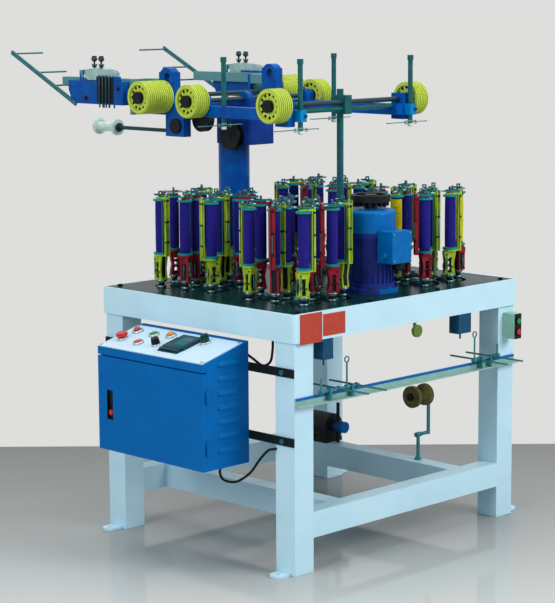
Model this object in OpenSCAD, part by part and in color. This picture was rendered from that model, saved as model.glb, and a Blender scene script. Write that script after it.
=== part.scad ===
// Four-head braiding machine: a welded table, four braiding heads, a control
// cabinet at the left end, a drive motor and a take-up unit on a column.
// Origin on the floor under the middle of the table, +X along the table,
// +Y to the rear, +Z up, millimetres.

/* [Table] */
// Height of the track plate above the floor
table_h = 800; // [760:1:860]
// Length of the table
table_l = 1060; // [1050:1:1140]
// Width of the table
table_w = 880; // [870:1:940]
// Height of the apron
apron_h = 86; // [84:1:100]
// Wall of the apron
apron_t = 10; // [8:0.5:12]
// Radius of the apron's outer corners
apron_r = 16; // [12:1:20]
// Thickness of the track plate
plate_t = 12; // [10:0.5:14]
// Thickness of the bed plate that carries the gears
bed_t = 12; // [8:0.5:14]
// Side of the square legs
leg_w = 80; // [70:1:90]
// Wall of the leg and rail tubes
tube_t = 5; // [3:0.5:8]
// Thickness of the foot plates
foot_t = 8; // [6:0.5:12]
// Height of the lower rails above the floor
rail_z = 106; // [80:1:140]
// Height of the lower rails
rail_h = 80; // [60:1:90]
// Width of the lower rails
rail_w = 60; // [50:1:70]
// Distance of the cross rails from the middle
cross_x = 292; // [270:1:320]

/* [Heads] */
// Distance of the heads from the middle along X
head_x = 280; // [278:1:290]
// Distance of the heads from the middle along Y
head_y = 204; // [203:1:210]
// Pitch radius of the horn gears and radius of each track circle
gear_r = 67.5; // [67:0.5:68]
// Width of the track groove
groove_w = 14; // [12:0.5:16]
// Turn of the carriers on the first gear of each head
carrier_turn = 18; // [0:1:60]

/* [Carriers] */
// Height of the bobbin shelf above the track plate
shelf_z = 110; // [100:1:120]
// Length of a bobbin over its flanges
bobbin_l = 178; // [160:1:190]
// Radius of the bobbin flanges
flange_r = 24; // [22:0.5:25]
// Radius of the yarn package
yarn_r = 17; // [12:0.5:20]

/* [Cabinet] */
// Width of the control cabinet
cab_w = 482; // [440:1:520]
// Depth of the control cabinet
cab_d = 190; // [180:1:210]
// Distance of the cabinet's underside below the track plate's top
cab_drop = 475; // [465:1:490]
// Height of the front edge of the cabinet's top above its underside
cab_front_h = 326; // [322:1:330]
// Height of the back edge of the cabinet's top above its underside
cab_back_h = 376; // [366:1:380]
// Sheet thickness of the cabinet
cab_t = 3; // [2:0.5:4]
// Height of the door
door_h = 298; // [280:1:300]
// Thickness of the door
door_t = 16; // [12:1:20]

/* [Motor] */
// Distance of the motor axis in front of the middle
motor_y = 260; // [259:0.5:261]
// Radius of the motor housing over its fins
motor_r = 78; // [74:1:80]
// Height of the finned housing
motor_h = 176; // [160:1:190]
// Height of the fan cowl
cowl_h = 72; // [60:1:80]
// Radius of the handwheel
wheel_r = 63; // [56:1:66]

/* [Take-up] */
// Distance of the column axis behind the middle
column_y = 365; // [360:1:370]
// Radius of the take-up column
column_r = 52.5; // [48:0.5:56]
// Height of the column above the track plate
column_h = 443; // [430:1:450]
// Radius of the haul-off rolls
roll_r = 54; // [50:0.5:55]
// Length of the front and middle rolls
roll_l = 58; // [50:1:60]
// Length of the rear rolls
long_roll_l = 112; // [100:1:116]
// Height of the roll axes above the arms
roll_rise = 15; // [13:0.5:18]
// Radius of the roll shafts
shaft_r = 8; // [7:0.5:8.5]
// Distance of the arms' inner faces from the middle
arm_x = 222; // [218:1:226]
// Width of an arm
arm_w = 32; // [30:1:34]
// Height of an arm
arm_h = 36; // [32:1:38]

/* [Guides] */
// Length of the guide post above the front rolls' axis
post_over = 41; // [36:1:54]
// Radius of the guide post
post_r = 11; // [10:0.5:12]
// Radius of the guide rods
rod_r = 8; // [6:0.5:8.5]
// Length of the guide rods
rod_l = 222; // [200:1:240]
// Distance of the stop-motion bar below the track plate's top
stop_drop = 279; // [240:1:320]
// Reach of the stop-motion forks
fork_l = 237; // [200:1:260]

/* [Hidden] */

// Shared clearances, overrun and smoothness
fit = 0.3;
gap = 2;
over = 1;
fn_round = 48;
fn_small = 24;

// Places in the table
plate_z = table_h - plate_t;
in_l = table_l - 2 * apron_t;
in_w = table_w - 2 * apron_t;
leg_x = in_l / 2 - leg_w / 2;
leg_y = in_w / 2 - leg_w / 2;
apron_z = table_h - apron_h;
bed_z = apron_z + 4 * gap;
bed_top = bed_z + bed_t;
ear_r = 24;
ear_x = 35;
anchor_r = 7;
tap_r = 5;

// Places of the heads and sizes of the gear train
FRONT = [-1, -1];
LEFT = [-1, 1];
RIGHT = [1, -1];
BACK = [1, 1];
HEADS = [FRONT, LEFT, RIGHT, BACK];
gear_teeth = 27;
horn_slots = 6;
carriers_each = 3;
module_size = 2 * gear_r / gear_teeth;
tooth_out_share = 0.85;
tooth_in_share = 1.1;
flank_share = 0.36;
backlash = 1;
press_angle = 20;
gear_z = bed_top + 4 * gap;
gear_h = 16;
horn_z = gear_z + gear_h + 2 * gap;
horn_h = 16;
hub_r = 22;
stud_r = 10;
slot_r = 7;
tube_r = 16;
core_r = 9;
inner_x = head_x - gear_r;
inner_y = head_y - gear_r;
bull_r = norm([inner_x, inner_y]) - gear_r;
bull_teeth = round(2 * bull_r / module_size);
bull_hole_r = 44;
pinion_r = motor_y - bull_r;
pinion_teeth = round(2 * pinion_r / module_size);
motor_shaft_r = 14;
bull_stud_r = 15;
mount_r = 90;
screw_r = 5;
screw_head_r = 8;
screw_head_h = 6;

// Places of the cabinet
strap_t = 6;
strap_h = 26;
strap_z_shares = [0.86, 0.16];
strap_y = in_w / 2;
strap_bolt_in = 45;
strap_bolt_y = strap_y - strap_bolt_in;
cab_z = table_h - cab_drop;
strap_zs = [for (s = strap_z_shares) cab_z + s * cab_front_h + (1 - s) * strap_h];
cab_x1 = -in_l / 2 - strap_t;
cab_x0 = cab_x1 - cab_d;
door_y = cab_w / 2;
door_lift = 4;
knuckle_r = 5;
knuckle_h = 40;
knuckle_inset = 50;
hinge_x = cab_x0 + door_t;
hinge_y = -door_y - knuckle_r - fit;
cab_lip = 18;
handle_w = 28;
handle_h = 93;
handle_y = 186;
handle_z = 146;
handle_in = 9;
louvre_n = 7;
louvre_w = 83;
louvre_h = 4;
louvre_top = 314;
louvre_low = 51;
louvre_x = 106;
louvre_out = 5;
slope = atan((cab_back_h - cab_front_h) / cab_d);
panel_t = 3;
panel_l = 176;
panel_edge = 4;
collar_h = 6;
collar_w = 3;
press = 3;
flush_r = 11;
stop_at = [69, 197];
stop_r = 19;
stop_h = 12;
stop_neck_r = 9;
stop_press = 5;
red_lamp_at = [129, 191];
lamp_r = 12;
start_at = [125, 109];
halt_at = [58, 110];
amber_lamp_at = [135, 41];
knob_at = [66, 36];
knob_r = 14;
knob_h = 18;
display_at = [92, -49];
display_l = 70;
display_w = 95;
display_h = 8;
selector_at = [132, -118];
selector_r = 15;
selector_h = 10;
grip_w = 6;
grip_h = 12;

// Carrier pieces
foot_r = 14;
foot_top = 8;
neck_r = 6;
neck_top = 22;
ring_r = 18;
ring_top = 28;
block_l = 28;
block_w = 16;
block_back = 10;
block_hole_r = 7;
block_holes = 3;
shelf_t = 6;
shelf_w = 22;
column_w = 14;
column_t = 10;
column_x = flange_r + 2 * fit;
groove_t = 3;
groove_side = 4;
stem_r = 5;
spindle_r = 4;
flange_t = 6;
bobbin_core_r = 9;
yarn_gap = 2;
arm_t = 6;
eye_h = 20;
eye_w = 5;
eye_r = 6;
lever_x = 14;
lever_t = 4;

// Motor pieces
motor_flange_h = 14;
fin_n = 28;
fin_w = 3;
fin_t = 7;
bell_h = 16;
cowl_r = 80;
cowl_round = 14;
vent_n = 8;
vent_r = 6;
vent_ring_r = 52;
term_w = 90;
term_t = 56;
term_h = 100;
term_z = 100;
gland_r = 11;
gland_l = 16;
rim_h = 22;
rim_t = 12;
hub_wheel_r = 20;
spoke_w = 14;
spoke_n = 4;
foot_pad_w = 44;

// Take-up pieces
column_wall = 6;
flange_col_r = 80;
flange_col_t = 14;
column_bolts = 6;
box_w = 114;
box_front = 225;
box_back = 395;
box_rise = 48;
box_wall_r = 12;
lug_w = 23;
lug_r = 23;
mid_y = 257;
front_y = 149;
rear_y = 430;
rear_rise = 9;
beam_y0 = 340;
beam_y1 = 390;
beam_h = 51;
column_top = table_h + column_h;
arm_rise = 102;
arm_z = column_top + arm_rise;
arm_top = arm_z + arm_h;
box_top = arm_z + box_rise;
arm_y0 = 175;
arm_y1 = 513;
axis_z = arm_top + roll_rise;
rear_z = axis_z + rear_rise;
block_t = 32;
block_y1 = 120;
block_low = 15;
block_high = 19;
pillow_l = 44;
pillow_r = 22;
tower_y0 = 385;
tower_y1 = 455;
tower_rise = 119;
tower_top = arm_top + tower_rise;
tower_hole_r = 15;
tower_hole_y = 415;
tower_hole_rise = 87;
tower_hole_z = arm_top + tower_hole_rise;
plate_y = 12;
plate_x1 = 322;
bracket_y0 = 337;
bracket_y1 = 425;
bracket_drop = 70;
bracket_z = arm_z - bracket_drop;
disc_y = 372;
disc_drop = 35;
disc_z = arm_z - disc_drop;
disc_r = 25;
disc_t = 8;
spoke_rod_r = 6.5;
spoke_rod_drop = 53;
spoke_rod_z = arm_z - spoke_rod_drop;
spoke_rod_end = 800;
roller_y0 = 685;
roller_y1 = 790;
roller_r = 27;
roller_core_r = 15;
roller_flange = 10;
roller_stop = 8;
wheel_b_r = 45;
wheel_b_y = 300;
wheel_b_rise = 27;
wheel_b_z = column_top + wheel_b_rise;
wheel_b_t = 26;
wheel_b_pin = 10;
wheel_cut = 6;
cover_a_r = 42;
cover_a_y = 290;
cover_a_drop = 10;
cover_a_z = arm_z - cover_a_drop;
cover_a_t = 24;
roll_x = 289;
mid_roll_x = 258;
roll_groove = 4;
roll_groove_n = 7;
long_groove_n = 13;
roll_hub_r = 20;
roll_hub_t = 6;
roll_hole_r = 5;
roll_hole_n = 12;
roll_hole_share = 0.66;
roll_dish = 8;
beam_x0 = 290;
beam_x1 = 320;
unit_x1 = 352;
rear_end = 880;
rear_beam_rise = 49;
rear_beam_z = arm_top + rear_beam_rise;
rear_beam_h = 32;
plate_top = rear_beam_z + rear_beam_h;
unit_drop = 54;
unit_low = rear_beam_z - unit_drop;
head_y1 = 571;
head_rise = 23;
head_top = rear_beam_z + head_rise;
comb_y1 = 659;
comb_rise = 16;
comb_top = head_top + comb_rise;
tail_y1 = 808;
tail_slope_share = 0.86;
comb_pin_r = 3;
comb_pin_l = 12;
comb_pin_shares = [0.2, 0.5, 0.8];
pivot_y = 740;
pivot_rise = 27;
pivot_z = head_top + pivot_rise;
pivot_r = 4;
ear_t = 5;
ear_pad = 8;
press_t = 14;
press_w = 20;
press_open = 60;
knob_ys = [652, 688];
knob_rise = 67;
knob_top = comb_top + knob_rise;
knob_stem_r = 3;
knob_head_r = 8;
knob_head_t = 12;
bar_t = 6;
bar_w = 14;
bar_y0 = 768;
bar_drop = 9;
bar_z0 = unit_low - bar_drop;
bar_y1 = 1118;
bar_climb = 169;
bar_z1 = bar_z0 + bar_climb;
peg_r = 3;
peg_l = 125;
peg_shares = [0.04, 0.41, 0.66];

// Guide pieces
post_y = 128;
clamp_x = 15;
clamp_y0 = 165;
clamp_y1 = 110;
clamp_drop = 38;
clamp_rise = 22;
clamp_z0 = axis_z - clamp_drop;
clamp_z1 = axis_z + clamp_rise;
cross_bar_r = 8;
cross_bar_drop = 21;
cross_bar_z = axis_z - cross_bar_drop;
rod_rise = 143;
rod_top = axis_z + rod_rise;
post_top = axis_z + post_over;
rod_out = 15;
rod_x = 257;
rod_y = 172;
rod_clamp = 14;
wire_r = 1.6;
wire_back = 105;
wire_front = 72;
wire_jog = 10;
wire_jog_share = 0.5;
wire_up = 4;

// Stop-motion and small pieces below the table
stop_z = table_h - stop_drop;
bar_leg = 25;
bar_wall = 4;
fork_rise = 10;
fork_y = 15;
fork_shaft_r = 4;
fork_rod_r = 3;
fork_swing = 10;
fork_front_share = 0.52;
left_rods = [-345, -265];
right_rods = [315, 395];
left_pins = [-308, -421];
right_pins = [300, 418];
left_ears = [-385, -288];
right_ears = [332, 378];
fork_ear_t = 8;
fork_ear_w = 16;
fork_over = 12;
fork_pin_h = [76, 40];
fork_ring_r = 9;
fork_ring_t = 3;
switch_z = 64;
switch_t = 40;
switch_in = 34;
left_switch_w = 43;
left_switch = [leg_w / 2 - leg_x + switch_in, leg_w / 2 - leg_x + switch_in + left_switch_w];
right_switch = [225, 287];
tension_x = 15;
tension_z = 26;
tension_r = 20;
tension_t = 10;
station_in = 17;
station_w = 36;
station_x0 = leg_x - station_in;
station_x1 = station_x0 + station_w;
station_drop = 192;
station_z0 = table_h - station_drop;
station_h = 84;
station_t = 50;
station_press = 3;
station_r = 9;
station_up_shares = [0.71, 0.29];
station_ring = 3;
spool_off = 8;
spool_x = cross_x + spool_off;
spool_y = 205;
spool_z = 219;
spool_l = 75;
spool_r = 37;
spool_core_r = 17;
spool_flange = 9;
spool_pin_r = 8;
spool_rod_r = 6;
spool_rod_h = 86;
spool_arm = 52;
spool_arm_x = spool_x + spool_arm;
wing_r = 12;
wing_t = 8;
gear_box_w = 84;
gear_box_y0 = 186;
gear_box_y1 = 286;
gear_box_base = 14;
gear_box_r = 44;
gear_box_end = 130;
gear_box_end_r = 20;
gear_rod_y = 165;
gear_rod_r = 6;
gear_rod_h = 142;

// Cables
cable_r = 4;
cable_sides = 8;
cable_steps = 5;
gland_w = 12;
gland_len = 14;
gland_in = 74;
gland_y = 190;
cabinet_gland = [cab_x1 - gland_in, -gland_y];
supply_gland = [-gland_y, strap_zs[0] + strap_h + gland_w + 4 * gap];
cabinet_ends = [[-74, -190, -14], [-74, -190, -35], [-64, -200, -53], [-44, -230, -55],
    [-26, -270, -25], [-20, -310, 25], [-16, -340, 55], [-8, -352, 59], [6, -352, 59]];
supply_ends = [[14, -190, -67], [31, -190, -67], [56, -200, -87], [71, -230, -108],
    [76, -258, -94], [76, -268, -58], [76, -270, -22], [76, -270, 0]];
cabinet_route = [for (p = cabinet_ends) p + [cab_x1, 0, cab_z]];
supply_route = [for (p = supply_ends) p + [cab_x1, 0, bed_z]];

// Paint
WHITE = "#B5D8EA";
GREEN = "#16302A";
BLUE = "#0064AE";
INDIGO = "#2440A0";
LIME = "#B4CC2C";
WINE = "#A02030";
YARN = "#2A2090";
ROLL = "#B4D030";
TEAL = "#0E5A62";
STEEL = "#A8B0B4";
DARK = "#202428";

// Shared shapes
module rrect(l, w, r) {
    square([l - 2 * r, w], center = true);
    square([l, w - 2 * r], center = true);
    for (sx = [-1, 1], sy = [-1, 1])
        translate([sx * (l / 2 - r), sy * (w / 2 - r)]) circle(r, $fn = fn_round);
}
module bar_x(x0, x1, y, z, r) {
    translate([x0, y, z]) rotate([0, 90, 0]) cylinder(h = x1 - x0, r = r, $fn = fn_small);
}
module bar_y(x, y0, y1, z, r) {
    translate([x, y0, z]) rotate([-90, 0, 0]) cylinder(h = y1 - y0, r = r, $fn = fn_small);
}
module bar_z(x, y, z0, z1, r) {
    translate([x, y, z0]) cylinder(h = z1 - z0, r = r, $fn = fn_small);
}
module box(a, b) {
    translate([min(a.x, b.x), min(a.y, b.y), min(a.z, b.z)])
        cube([abs(b.x - a.x), abs(b.y - a.y), abs(b.z - a.z)]);
}

// Gear profile with involute flanks; the first tooth lies at the angle phase
function inv_at(base, r) = r <= base ? 0 :
    let (a = acos(base / r)) tan(a) * 180 / PI - a;
function gear_points(teeth, phase) =
    let (pr = module_size * teeth / 2, base = pr * cos(press_angle),
        tip = pr + module_size * tooth_out_share, root = pr - module_size * tooth_in_share,
        half = (PI * module_size - backlash) / 4 / pr * 180 / PI + inv_at(base, pr),
        rs = [root, max(base, root), pr, tip],
        hs = [for (r = rs) half - inv_at(base, r)])
    [for (i = [0:teeth - 1], s = [0:2 * len(rs) - 1])
        let (k = s < len(rs) ? s : 2 * len(rs) - 1 - s, sign = s < len(rs) ? -1 : 1,
            a = phase + i * 360 / teeth + sign * hs[k])
        rs[k] * [cos(a), sin(a)]];
module gear_disc(teeth, phase) {
    linear_extrude(gear_h) polygon(gear_points(teeth, phase));
}
// Phase of a gear so that it meshes with one of phase p1 in the direction dir
function mesh_phase(p1, t1, t2, dir) = dir + 180 - 360 / t2 * (0.5 - (dir - p1) * t1 / 360);

// Angles and places of the four gears of a head
function ring_angle(k) = 45 + 90 * (k - 1);
function gear_at(h, k) = [h.x * head_x + gear_r * sign(cos(ring_angle(k))),
    h.y * head_y + gear_r * sign(sin(ring_angle(k)))];
// Number of the gear that meshes with the bull gear
function inner_k(h) = h == FRONT ? 1 : h == RIGHT ? 2 : h == BACK ? 3 : 4;
// Steps from the inner gear round the ring
function ring_step(h, k) = (k - inner_k(h) + 4) % 4;
function toward(a, b) = atan2(b.y - a.y, b.x - a.x);
function inner_phase(h) = mesh_phase(0, bull_teeth, gear_teeth, toward([0, 0], gear_at(h, inner_k(h))));
function gear_phase(h, k) =
    let (s = ring_step(h, k), k0 = inner_k(h), ph0 = inner_phase(h), g0 = gear_at(h, k0))
    s == 0 ? ph0 :
    s == 2 ? let (k1 = k0 % 4 + 1, g1 = gear_at(h, k1),
            ph1 = mesh_phase(ph0, gear_teeth, gear_teeth, toward(g0, g1)))
        mesh_phase(ph1, gear_teeth, gear_teeth, toward(g1, gear_at(h, k))) :
    mesh_phase(ph0, gear_teeth, gear_teeth, toward(g0, gear_at(h, k)));
// Angle of the first carrier, its way of travel is even or odd round the ring
function carrier_phase(k) = ring_angle(k) + (k % 2 == 1 ? carrier_turn : 360 / horn_slots - carrier_turn);

module legs() {
    color(WHITE) for (sx = [-1, 1], sy = [-1, 1]) {
        translate([sx * leg_x, sy * leg_y, foot_t]) linear_extrude(plate_z - foot_t) difference() {
            square(leg_w, center = true);
            square(leg_w - 2 * tube_t, center = true);
        }
        translate([sx * leg_x, sy * leg_y, 0]) linear_extrude(foot_t) difference() {
            union() {
                square(leg_w, center = true);
                translate([sx * (leg_w + ear_x) / 2, 0]) square([ear_x, 2 * ear_r], center = true);
                translate([sx * (leg_w / 2 + ear_x), 0]) circle(ear_r, $fn = fn_round);
            }
            translate([sx * (leg_w / 2 + ear_x), 0]) circle(anchor_r, $fn = fn_small);
        }
    }
}
module lower_rails() {
    color(WHITE) {
        for (sy = [-1, 1]) translate([0, sy * (in_w / 2 - rail_w / 2), rail_z + rail_h / 2])
            rotate([0, 90, 0]) linear_extrude(2 * leg_x - leg_w, center = true) difference() {
                square([rail_h, rail_w], center = true);
                square([rail_h - 2 * tube_t, rail_w - 2 * tube_t], center = true);
            }
        for (sx = [-1, 1]) translate([sx * cross_x, 0, rail_z + rail_h / 2])
            rotate([90, 0, 0]) linear_extrude(in_w - 2 * rail_w, center = true) difference() {
                square([rail_w, rail_h], center = true);
                square([rail_w - 2 * tube_t, rail_h - 2 * tube_t], center = true);
            }
    }
}
module apron() {
    color(WHITE) translate([0, 0, apron_z]) linear_extrude(apron_h) difference() {
        rrect(table_l, table_w, apron_r);
        square([in_l, in_w], center = true);
    }
}
module bed_plate() {
    color(DARK) {
        translate([0, 0, bed_z]) linear_extrude(bed_t) difference() {
            square([in_l, in_w], center = true);
            for (sx = [-1, 1], sy = [-1, 1]) translate([sx * (leg_x + fit), sy * (leg_y + fit)])
                square(leg_w + 4 * fit, center = true);
        }
        for (h = HEADS) {
            for (k = [1:4]) let (g = gear_at(h, k)) bar_z(g.x, g.y, bed_top, plate_z, stud_r);
            translate([h.x * head_x, h.y * head_y, bed_top]) difference() {
                cylinder(h = plate_z - bed_top, r = tube_r, $fn = fn_small);
                translate([0, 0, -over])
                    cylinder(h = plate_z - bed_top + 2 * over, r = core_r, $fn = fn_small);
            }
        }
        bar_z(0, 0, bed_top, plate_z, bull_stud_r);
    }
}
module track_plate() {
    color(GREEN) translate([0, 0, plate_z]) linear_extrude(plate_t) {
        difference() {
            square([in_l, in_w], center = true);
            for (h = HEADS) {
                translate([h.x * head_x, h.y * head_y]) square(2 * gear_r, center = true);
                for (k = [1:4]) translate(gear_at(h, k)) circle(gear_r + groove_w / 2, $fn = fn_round);
            }
            translate([0, -motor_y]) circle(motor_shaft_r + gap, $fn = fn_small);
        }
        for (h = HEADS) {
            difference() {
                translate([h.x * head_x, h.y * head_y]) square(2 * gear_r, center = true);
                for (k = [1:4]) translate(gear_at(h, k)) circle(gear_r + groove_w / 2, $fn = fn_round);
                translate([h.x * head_x, h.y * head_y]) circle(core_r, $fn = fn_small);
            }
            for (k = [1:4]) translate(gear_at(h, k)) circle(gear_r - groove_w / 2, $fn = fn_round);
        }
    }
}
module cabinet_straps() {
    color(DARK) for (z = strap_zs) {
        box([cab_x1, -strap_y, z], [cab_x1 + strap_t, strap_y, z + strap_h]);
        for (sy = [-1, 1])
            bar_x(cab_x1 - screw_head_h, cab_x1, sy * strap_bolt_y, z + strap_h / 2, screw_head_r);
    }
}

// Outline of the cabinet seen from the side, drawn in by t
module cab_outline(t) {
    d = cab_d - t;
    drop = t / cos(slope);
    polygon([[door_t + t, t], [d, t],
        [d, cab_back_h - drop - t * tan(slope)],
        [t, cab_front_h - drop + t * tan(slope)],
        [t, door_h + door_lift + t], [door_t + t, door_h + door_lift + t]]);
}
module cabinet_body() {
    color(BLUE) translate([cab_x0, 0, cab_z]) difference() {
        rotate([90, 0, 0]) linear_extrude(cab_w, center = true) cab_outline(0);
        rotate([90, 0, 0]) linear_extrude(cab_w - 2 * cab_t, center = true) cab_outline(cab_t);
        translate([door_t - over, -door_y + cab_lip, cab_lip])
            cube([cab_t + 2 * over, cab_w - 2 * cab_lip, door_h - 2 * cab_lip]);
        for (i = [0:louvre_n - 1]) translate([louvre_x - louvre_w / 2, -door_y - over,
            louvre_low + i * (louvre_top - louvre_low) / (louvre_n - 1)])
            cube([louvre_w, cab_t + 2 * over, louvre_h]);
    }
    color(DARK) {
        bar_z(cabinet_gland.x, cabinet_gland.y, cab_z - gland_len, cab_z, gland_w);
        bar_x(cab_x1, cab_x1 + gland_len, supply_gland.x, supply_gland.y, gland_w);
    }
    color(BLUE) for (i = [0:louvre_n - 1]) translate([cab_x0 + louvre_x - louvre_w / 2 - gap, -door_y,
        cab_z + louvre_low + louvre_h + i * (louvre_top - louvre_low) / (louvre_n - 1)])
        rotate([90, 0, 90]) linear_extrude(louvre_w + 2 * gap)
            polygon([[cab_t / 2, cab_t / 4], [-louvre_out, -louvre_h], [-louvre_out, -louvre_h + cab_t / 2],
                [cab_t / 2, cab_t + cab_t / 4]]);
    color(BLUE) for (z = [cab_z + knuckle_inset, cab_z + door_h - knuckle_inset - knuckle_h]) {
        bar_z(hinge_x, hinge_y, z, z + knuckle_h / 2, knuckle_r);
        box([hinge_x, hinge_y, z], [hinge_x + 2 * knuckle_r, -door_y, z + knuckle_h / 2]);
    }
}
module cabinet_door() {
    color(BLUE) {
        difference() {
            box([cab_x0, -door_y, cab_z], [cab_x0 + door_t - fit, door_y, cab_z + door_h]);
            box([cab_x0 + cab_t, -door_y + cab_t, cab_z + cab_t],
                [cab_x0 + door_t + over, door_y - cab_t, cab_z + door_h - cab_t]);
            box([cab_x0 - over, handle_y - handle_w / 2, cab_z + handle_z - handle_h / 2],
                [cab_x0 + cab_t + over, handle_y + handle_w / 2, cab_z + handle_z + handle_h / 2]);
        }
        difference() {
            box([cab_x0, handle_y - handle_w / 2 - cab_t, cab_z + handle_z - handle_h / 2 - cab_t],
                [cab_x0 + handle_in + cab_t, handle_y + handle_w / 2 + cab_t,
                    cab_z + handle_z + handle_h / 2 + cab_t]);
            box([cab_x0 - over, handle_y - handle_w / 2, cab_z + handle_z - handle_h / 2],
                [cab_x0 + handle_in, handle_y + handle_w / 2, cab_z + handle_z + handle_h / 2]);
        }
        for (z = [cab_z + knuckle_inset, cab_z + door_h - knuckle_inset - knuckle_h]) {
            bar_z(hinge_x, hinge_y, z + knuckle_h / 2 + fit, z + knuckle_h, knuckle_r);
            box([hinge_x - knuckle_r, hinge_y, z + knuckle_h / 2 + fit],
                [hinge_x - fit, -door_y + cab_t, z + knuckle_h]);
        }
    }
}

// Carries pieces on the sloping panel: u up the slope, v along the width
module on_panel(at, up = 0) {
    translate([cab_x0, 0, cab_z + cab_front_h]) rotate([0, -slope, 0])
        translate([at.x, at.y, up]) children();
}
module collar(at, r) {
    on_panel(at, panel_t) difference() {
        cylinder(h = collar_h, r = r + fit + collar_w, $fn = fn_round);
        cylinder(h = 2 * collar_h, r = r + fit, $fn = fn_round);
    }
}
module cabinet_panel() {
    color("#E8ECEC") {
        on_panel([panel_l / 2, 0]) translate([0, 0, panel_t / 2])
            cube([panel_l - panel_edge, cab_w - 2 * panel_edge, panel_t], center = true);
        collar(start_at, flush_r);
        collar(halt_at, flush_r);
        collar(stop_at, stop_neck_r);
        collar(knob_at, knob_r / 2);
        collar(selector_at, selector_r / 2);
    }
    color(DARK) on_panel(display_at, panel_t) translate([-display_l / 2, -display_w / 2, 0])
        cube([display_l, display_w, display_h]);
}
module panel_lamps() {
    color("#D03020") for (at = [red_lamp_at, amber_lamp_at])
        on_panel(at, panel_t) rotate_extrude($fn = fn_round) {
        square([lamp_r + collar_w, collar_h]);
        translate([0, collar_h]) intersection() {
            circle(lamp_r, $fn = fn_round);
            square(lamp_r);
        }
    }
}
module flush_button(at) {
    on_panel(at, panel_t + press + fit) cylinder(h = collar_h, r = flush_r, $fn = fn_round);
}
module start_button() { color("#20A040") flush_button(start_at); }
module stop_button() { color("#D03020") flush_button(halt_at); }
module emergency_stop() {
    color("#D03020") on_panel(stop_at, panel_t + stop_press + fit) rotate_extrude($fn = fn_round) {
        square([stop_neck_r, stop_h]);
        translate([0, collar_h]) square([stop_r, stop_h / 2]);
        translate([0, collar_h + stop_h / 2]) square([stop_r - stop_h / 4, stop_h / 4]);
    }
}
module speed_knob() {
    color(DARK) on_panel(knob_at, panel_t + fit) {
        cylinder(h = collar_h + fit, r = knob_r / 2, $fn = fn_round);
        translate([0, 0, collar_h]) cylinder(h = knob_h, r1 = knob_r, r2 = knob_r - gap, $fn = fn_round);
        translate([0, -gap / 2, collar_h + knob_h]) cube([knob_r - gap, gap, gap / 2]);
    }
}
module mode_selector() {
    color(DARK) on_panel(selector_at, panel_t + fit) {
        cylinder(h = collar_h + fit, r = selector_r / 2, $fn = fn_round);
        translate([0, 0, collar_h]) cylinder(h = selector_h, r = selector_r, $fn = fn_round);
        translate([-selector_r + gap, -grip_w / 2, collar_h + selector_h])
            cube([2 * (selector_r - gap), grip_w, grip_h]);
    }
}

module motor_body() {
    z1 = motor_flange_h;
    z2 = z1 + motor_h;
    color(INDIGO) translate([0, -motor_y, table_h]) {
        difference() {
            union() {
                cylinder(h = z1, r = mount_r, $fn = fn_round);
                cylinder(h = z2, r = motor_r - fin_t, $fn = fn_round);
                translate([0, 0, z1]) cylinder(h = bell_h, r = motor_r, $fn = fn_round);
                translate([0, 0, z2 - bell_h]) cylinder(h = bell_h, r = motor_r, $fn = fn_round);
                for (i = [0:fin_n - 1]) rotate([0, 0, i * 360 / fin_n])
                    translate([0, -fin_w / 2, z1]) cube([motor_r - fin_w / 2, fin_w, motor_h - fin_w]);
                translate([-term_w / 2, -motor_r - term_t, term_z]) cube([term_w, term_t + fin_t, term_h]);
                translate([-term_w / 2 - gland_l, -motor_r - term_t / 2, term_z + term_h / 4])
                    rotate([0, 90, 0]) cylinder(h = 2 * gland_l, r = gland_r, $fn = fn_small);
                for (i = [0:3]) rotate([0, 0, i * 90]) translate([mount_r - screw_head_r - gap, 0, 0])
                    cylinder(h = z1 + screw_head_h, r = screw_head_r, $fn = fn_small);
                translate([0, 0, z2]) rotate_extrude($fn = fn_round) {
                    square([cowl_r, cowl_h - cowl_round]);
                    square([cowl_r - cowl_round, cowl_h]);
                    translate([cowl_r - cowl_round, cowl_h - cowl_round])
                        circle(cowl_round, $fn = fn_round);
                }
            }
            translate([0, 0, -over])
                cylinder(h = z2 + cowl_h + 2 * over, r = motor_shaft_r + fit, $fn = fn_small);
            for (i = [0:vent_n - 1]) rotate([0, 0, i * 360 / vent_n])
                translate([vent_ring_r, 0, z2 + cowl_round])
                    cylinder(h = cowl_h, r = vent_r, $fn = fn_small);
        }
    }
}
module handwheel() {
    z0 = table_h + motor_flange_h + motor_h + cowl_h + gap;
    color("#2050B0") translate([0, -motor_y, 0]) {
        bar_z(0, 0, bed_top + fit, z0 + 2 * rim_h, motor_shaft_r);
        translate([0, 0, gear_z]) gear_disc(pinion_teeth, mesh_phase(0, bull_teeth, pinion_teeth, -90));
        bar_z(0, 0, z0, z0 + 2 * rim_h, hub_wheel_r);
        translate([0, 0, z0 + rim_h]) {
            difference() {
                cylinder(h = rim_h, r = wheel_r, $fn = fn_round);
                translate([0, 0, -over])
                    cylinder(h = rim_h + 2 * over, r = wheel_r - rim_t, $fn = fn_round);
            }
            for (i = [0:spoke_n - 1]) rotate([0, 0, 45 + i * 360 / spoke_n]) translate([0, -spoke_w / 2, 0])
                cube([wheel_r - rim_t / 2, spoke_w, rim_h / 2]);
        }
    }
}
module bull_gear() {
    color(STEEL) difference() {
        union() {
            translate([0, 0, gear_z]) gear_disc(bull_teeth, 0);
            bar_z(0, 0, bed_top + fit, plate_z - gap, 2 * bull_stud_r);
        }
        bar_z(0, 0, bed_z, plate_z, bull_stud_r + fit);
        for (i = [0:horn_slots - 1]) rotate([0, 0, i * 360 / horn_slots])
            translate([(bull_r + bull_stud_r) / 2, 0, gear_z - over])
                cylinder(h = gear_h + 2 * over, r = bull_hole_r, $fn = fn_round);
    }
}

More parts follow.
